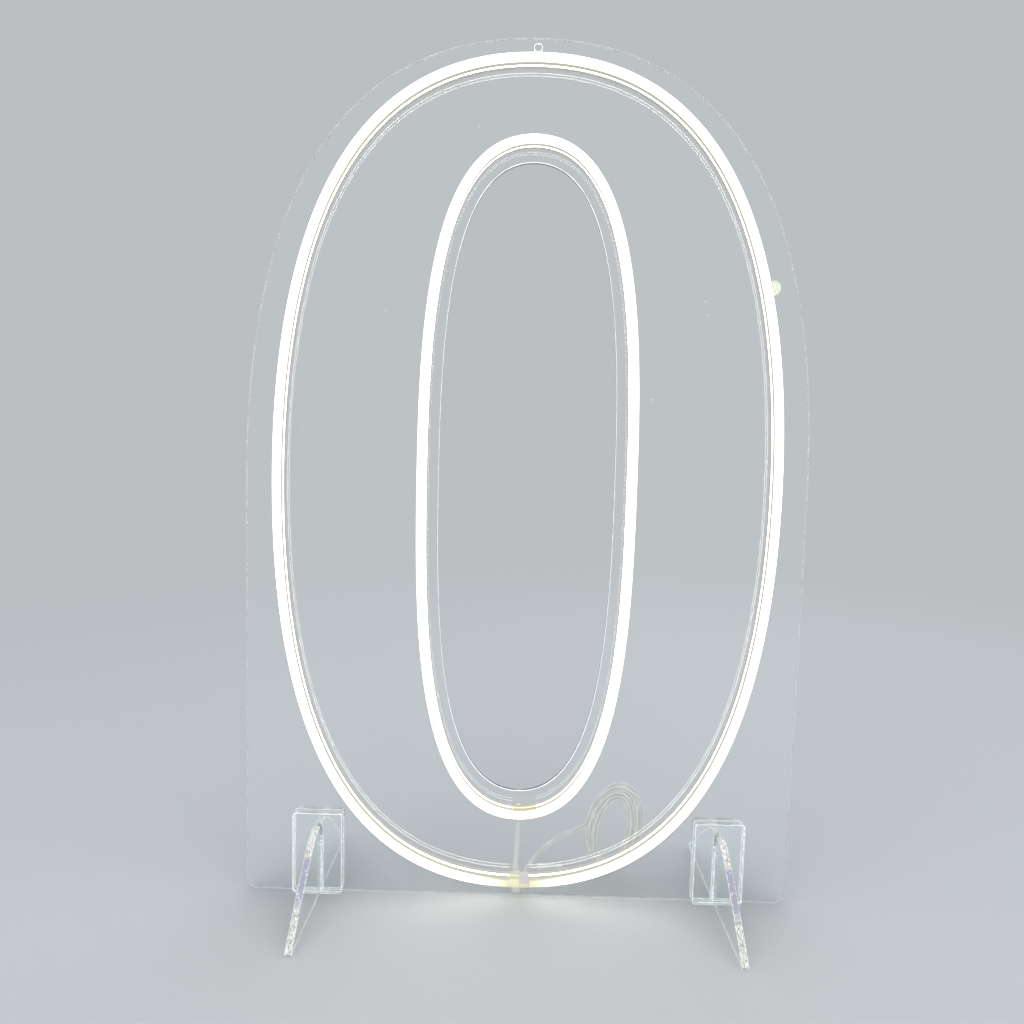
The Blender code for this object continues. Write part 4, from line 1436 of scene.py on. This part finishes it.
def turned(name, profile, origin, run, steps):
    """Round piece spun from a profile of lengths along its axis and radii."""
    side = run.orthogonal().normalized()
    mesh = bpy.data.meshes.new(name)
    places = [origin + run * along + side * radius for along, radius in profile]
    mesh.from_pydata(places, [(i, i + 1) for i in range(len(places) - 1)], [])
    piece = new_object(name, mesh)
    pick(piece)
    bpy.ops.object.mode_set(mode="EDIT")
    bpy.ops.mesh.select_all(action="SELECT")
    bpy.ops.mesh.spin(steps=steps, angle=math.tau, center=origin, axis=run)
    bpy.ops.object.mode_set(mode="OBJECT")
    tidy_mesh(piece)
    return piece


RELIEF_LENGTH = 0.010
RELIEF_RADIUS = 0.0021
RELIEF_RIBS = 4
RELIEF_START = 0.0004
RELIEF_PITCH = 0.0023
RELIEF_CREST = 0.0025
RELIEF_GROWTH = 0.00015
RIB_WIDTH, GROOVE_START, GROOVE_END = 0.0012, 0.0014, 0.0021
GRIP_RINGS = 5
GRIP_START = RELIEF_LENGTH + 0.0040
GRIP_PITCH = 0.0022
GRIP_DEPTH = 0.0004
BORE_RADIUS = 0.0032
BORE_DEPTH = 0.0095
SOCKET_SPIN_STEPS = 48


def make_socket(mat):
    """Moulded socket: ribbed strain relief, grip rings and the bore for its pin."""
    low, high = (Vector(corner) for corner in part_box("dc_socket"))
    radius = (high.z - low.z) / 2
    full = high.x - low.x
    neck = RELIEF_LENGTH
    profile = [(0.0, 0.0), (0.0, RELIEF_RADIUS)]
    for i in range(RELIEF_RIBS):
        start = RELIEF_START + RELIEF_PITCH * i
        crest = RELIEF_CREST + RELIEF_GROWTH * i
        profile += [(start, crest), (start + RIB_WIDTH, crest)]
        profile += [(start + GROOVE_START, RELIEF_RADIUS), (start + GROOVE_END, RELIEF_RADIUS)]
    profile += [(neck - 0.0002, 0.0030), (neck + 0.0004, radius - 0.0010)]
    profile += [(neck + 0.0008, radius - 0.0003), (neck + 0.0016, radius)]
    for i in range(GRIP_RINGS):
        start = GRIP_START + GRIP_PITCH * i
        groove = radius - GRIP_DEPTH
        profile += [(start, radius), (start + 0.0002, groove)]
        profile += [(start + 0.0009, groove), (start + 0.0011, radius)]
    profile += [(full - 0.0008, radius), (full - 0.0002, radius - 0.0003), (full, radius - 0.0008)]
    profile += [(full, BORE_RADIUS + 0.0003), (full - 0.0003, BORE_RADIUS)]
    profile += [(full - BORE_DEPTH, BORE_RADIUS), (full - BORE_DEPTH, 0.0)]
    origin = Vector((high.x, (low.y + high.y) / 2, (low.z + high.z) / 2))
    socket = turned("lead_socket", profile, origin, Vector((-1, 0, 0)), SOCKET_SPIN_STEPS)
    dress(socket, [mat], "sign", ["dc_socket"])


LINK_BEND_STEPS = 12
LINK_SETTLE_POINTS = 20
LINK_CORE_SHARE = 0.52
LINK_CORE_PLACE = 0.9
LINK_CORE_SEGMENTS = 10


def make_link(sizes):
    """Flat clear cable with two cores, from its hole down the back to the sleeve."""
    top = sizes.foot_margin + sizes.foot_spacing
    bend = sizes.link_bend
    face = sizes.board_thickness / 2
    path = [Vector((-face, top))]
    path += [
        Vector((face + bend / 4 + bend * math.sin(a), top - bend * (1 - math.cos(a))))
        for a in (math.radians(90 * i / LINK_BEND_STEPS) for i in range(LINK_BEND_STEPS + 1))
    ]
    lying = face + sizes.seat_gap + sizes.link_thickness / 2
    start = Vector((*path[-1], 0))
    end = Vector((lying, start.y - sizes.link_settle, 0))
    drop = Vector((0, -sizes.link_settle / 2, 0))
    settle = interpolate_bezier(start, start + drop, end - drop, end, LINK_SETTLE_POINTS)
    path += [Vector((p.x, p.y)) for p in settle[1:]]
    foot = sizes.sleeve_foot + sizes.sleeve_length + sizes.seat_gap
    path.append(Vector((lying, foot)))
    thick = sizes.link_thickness / 2
    half = sizes.link_width / 2 - thick
    flat = arc((0, half), thick, 0, 180, ROUND_SEGMENTS)
    flat += arc((0, -half), thick, 180, 360, ROUND_SEGMENTS)
    core = LINK_CORE_SHARE * thick
    sections = [("link_ribbon", flat, "clear_cord_sheath")]
    for side in (-LINK_CORE_PLACE * half, LINK_CORE_PLACE * half):
        ring = arc((0, side), core, 0, 360, LINK_CORE_SEGMENTS)[:-1]
        sections.append(("link_core", ring, "lead_cores"))
    pieces = []
    for name, section, mat in sections:
        piece = pull_section(name, path, section)
        piece.data.materials.append(bpy.data.materials[mat])
        stand_up(piece, turn=SIDEWAYS)
        pieces.append(piece)
    ribbon = join_pieces(pieces)
    for vertex in ribbon.data.vertices:
        fallen = (top - vertex.co.z) / (top - foot)
        vertex.co.x += sizes.link_across - sizes.link_drift * fallen
    dress(ribbon, [], "sign", ["link_cable"])


SLEEVE_EDGE = 0.0009
SLEEVE_SEGMENTS = 4
SLEEVE_CUTS = (0.14, 0.86)
SLEEVE_END = 0.75
SLEEVE_TAPER = (0.93, 0.85)


def make_sleeve(sizes, mat):
    """Clear splice sleeve, drawn in a little at both ends."""
    deselect()
    tall = sizes.sleeve_length
    deep = sizes.sleeve_depth
    near = sizes.board_thickness / 2 + sizes.seat_gap
    middle = Vector((sizes.sleeve_across, near + deep / 2, sizes.sleeve_foot + tall / 2))
    bpy.ops.mesh.primitive_cube_add(size=1, location=middle, scale=(sizes.sleeve_width, deep, tall))
    sleeve = bpy.context.object
    sleeve.name = "clear_splice_sleeve"
    bpy.ops.object.transform_apply(location=True, rotation=True, scale=True)
    bpy.ops.object.mode_set(mode="EDIT")
    bpy.ops.mesh.select_all(action="SELECT")
    bpy.ops.mesh.bevel(offset=SLEEVE_EDGE, segments=SLEEVE_SEGMENTS, affect="EDGES")
    for share_up in SLEEVE_CUTS:
        bpy.ops.mesh.select_all(action="SELECT")
        height = sizes.sleeve_foot + tall * share_up
        bpy.ops.mesh.bisect(plane_co=(0, 0, height), plane_no=(0, 0, 1))
    bpy.ops.object.mode_set(mode="OBJECT")
    across_share, depth_share = SLEEVE_TAPER
    for vertex in sleeve.data.vertices:
        if abs(vertex.co.z - middle.z) / (tall / 2) > SLEEVE_END:
            vertex.co.x = middle.x + (vertex.co.x - middle.x) * across_share
            vertex.co.y = near + (vertex.co.y - near) * depth_share
    dress(sleeve, [mat], "sign", ["splice_sleeve"])


def join_pieces(pieces):
    """Turn pieces that are still curves into meshes and join them all into the first one."""
    for piece in pieces:
        pick(piece)
        if piece.type == "CURVE":
            bpy.ops.object.convert(target="MESH")
    deselect()
    for piece in pieces:
        piece.select_set(True)
    bpy.context.view_layer.objects.active = pieces[0]
    bpy.ops.object.join()
    return bpy.context.object


def make_lead(sizes, colours):
    """Power lead: clear sheath with two cores, coiled behind the board."""
    path = evened_path(sizes)
    sheath = sheath_material("clear_cord_sheath", colours, cover=0.4, glow=0.35)
    core = plain_material("lead_cores", colours.cores, low=0.25, high=0.4, scale=900.0)
    pieces = [cord_tube("power_cord", path, LEAD_RADIUS, SHEATH_RESOLUTION)]
    pieces[0].data.materials.append(sheath)
    for phase in (0.0, math.pi):
        line = twisted_line(path, CORE_OFFSET, CORE_PITCH, phase)
        piece = cord_tube("core", line, CORE_RADIUS, CORE_RESOLUTION)
        piece.data.materials.append(core)
        pieces.append(piece)
    lead = join_pieces(pieces)
    pick(lead)
    bpy.ops.object.shade_smooth()
    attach(lead, "sign")
    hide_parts("power_lead", "power_lead_coil", "power_lead_tail")


class LIGHT_PT_panel(bpy.types.Panel):
    """Lists the pieces of the light with its sizes and colours"""

    bl_label = "Number light"
    bl_idname = "LIGHT_PT_panel"
    bl_space_type = "VIEW_3D"
    bl_region_type = "UI"
    bl_category = "Number Light"

    def draw(self, context):
        for operator in PIECES:
            self.layout.operator(operator.bl_idname)
        for group in (context.scene.light_sizes, context.scene.light_colours):
            box = self.layout.box()
            for name in group.__annotations__:
                box.prop(group, name)


PIECES = (
    LIGHT_OT_stage, LIGHT_OT_lead, LIGHT_OT_board, LIGHT_OT_strokes, LIGHT_OT_tapes,
    LIGHT_OT_feet, LIGHT_OT_link, LIGHT_OT_bumper,
)
CLASSES = (LightSizes, LightColours) + PIECES + (LIGHT_PT_panel,)


def register():
    """Make the classes known and keep the sizes and colours with the scene."""
    for item in CLASSES:
        bpy.utils.register_class(item)
    bpy.types.Scene.light_sizes = PointerProperty(type=LightSizes)
    bpy.types.Scene.light_colours = PointerProperty(type=LightColours)


def unregister():
    """Take back what register did."""
    del bpy.types.Scene.light_colours
    del bpy.types.Scene.light_sizes
    for item in reversed(CLASSES):
        bpy.utils.unregister_class(item)


def main():
    """Make every piece in turn."""
    register()
    bpy.ops.number_light.stage()
    bpy.ops.number_light.lead()
    bpy.ops.number_light.board()
    bpy.ops.number_light.strokes()
    bpy.ops.number_light.tapes()
    bpy.ops.number_light.feet()
    bpy.ops.number_light.link()
    bpy.ops.number_light.bumper()


if __name__ == "__main__":
    main()
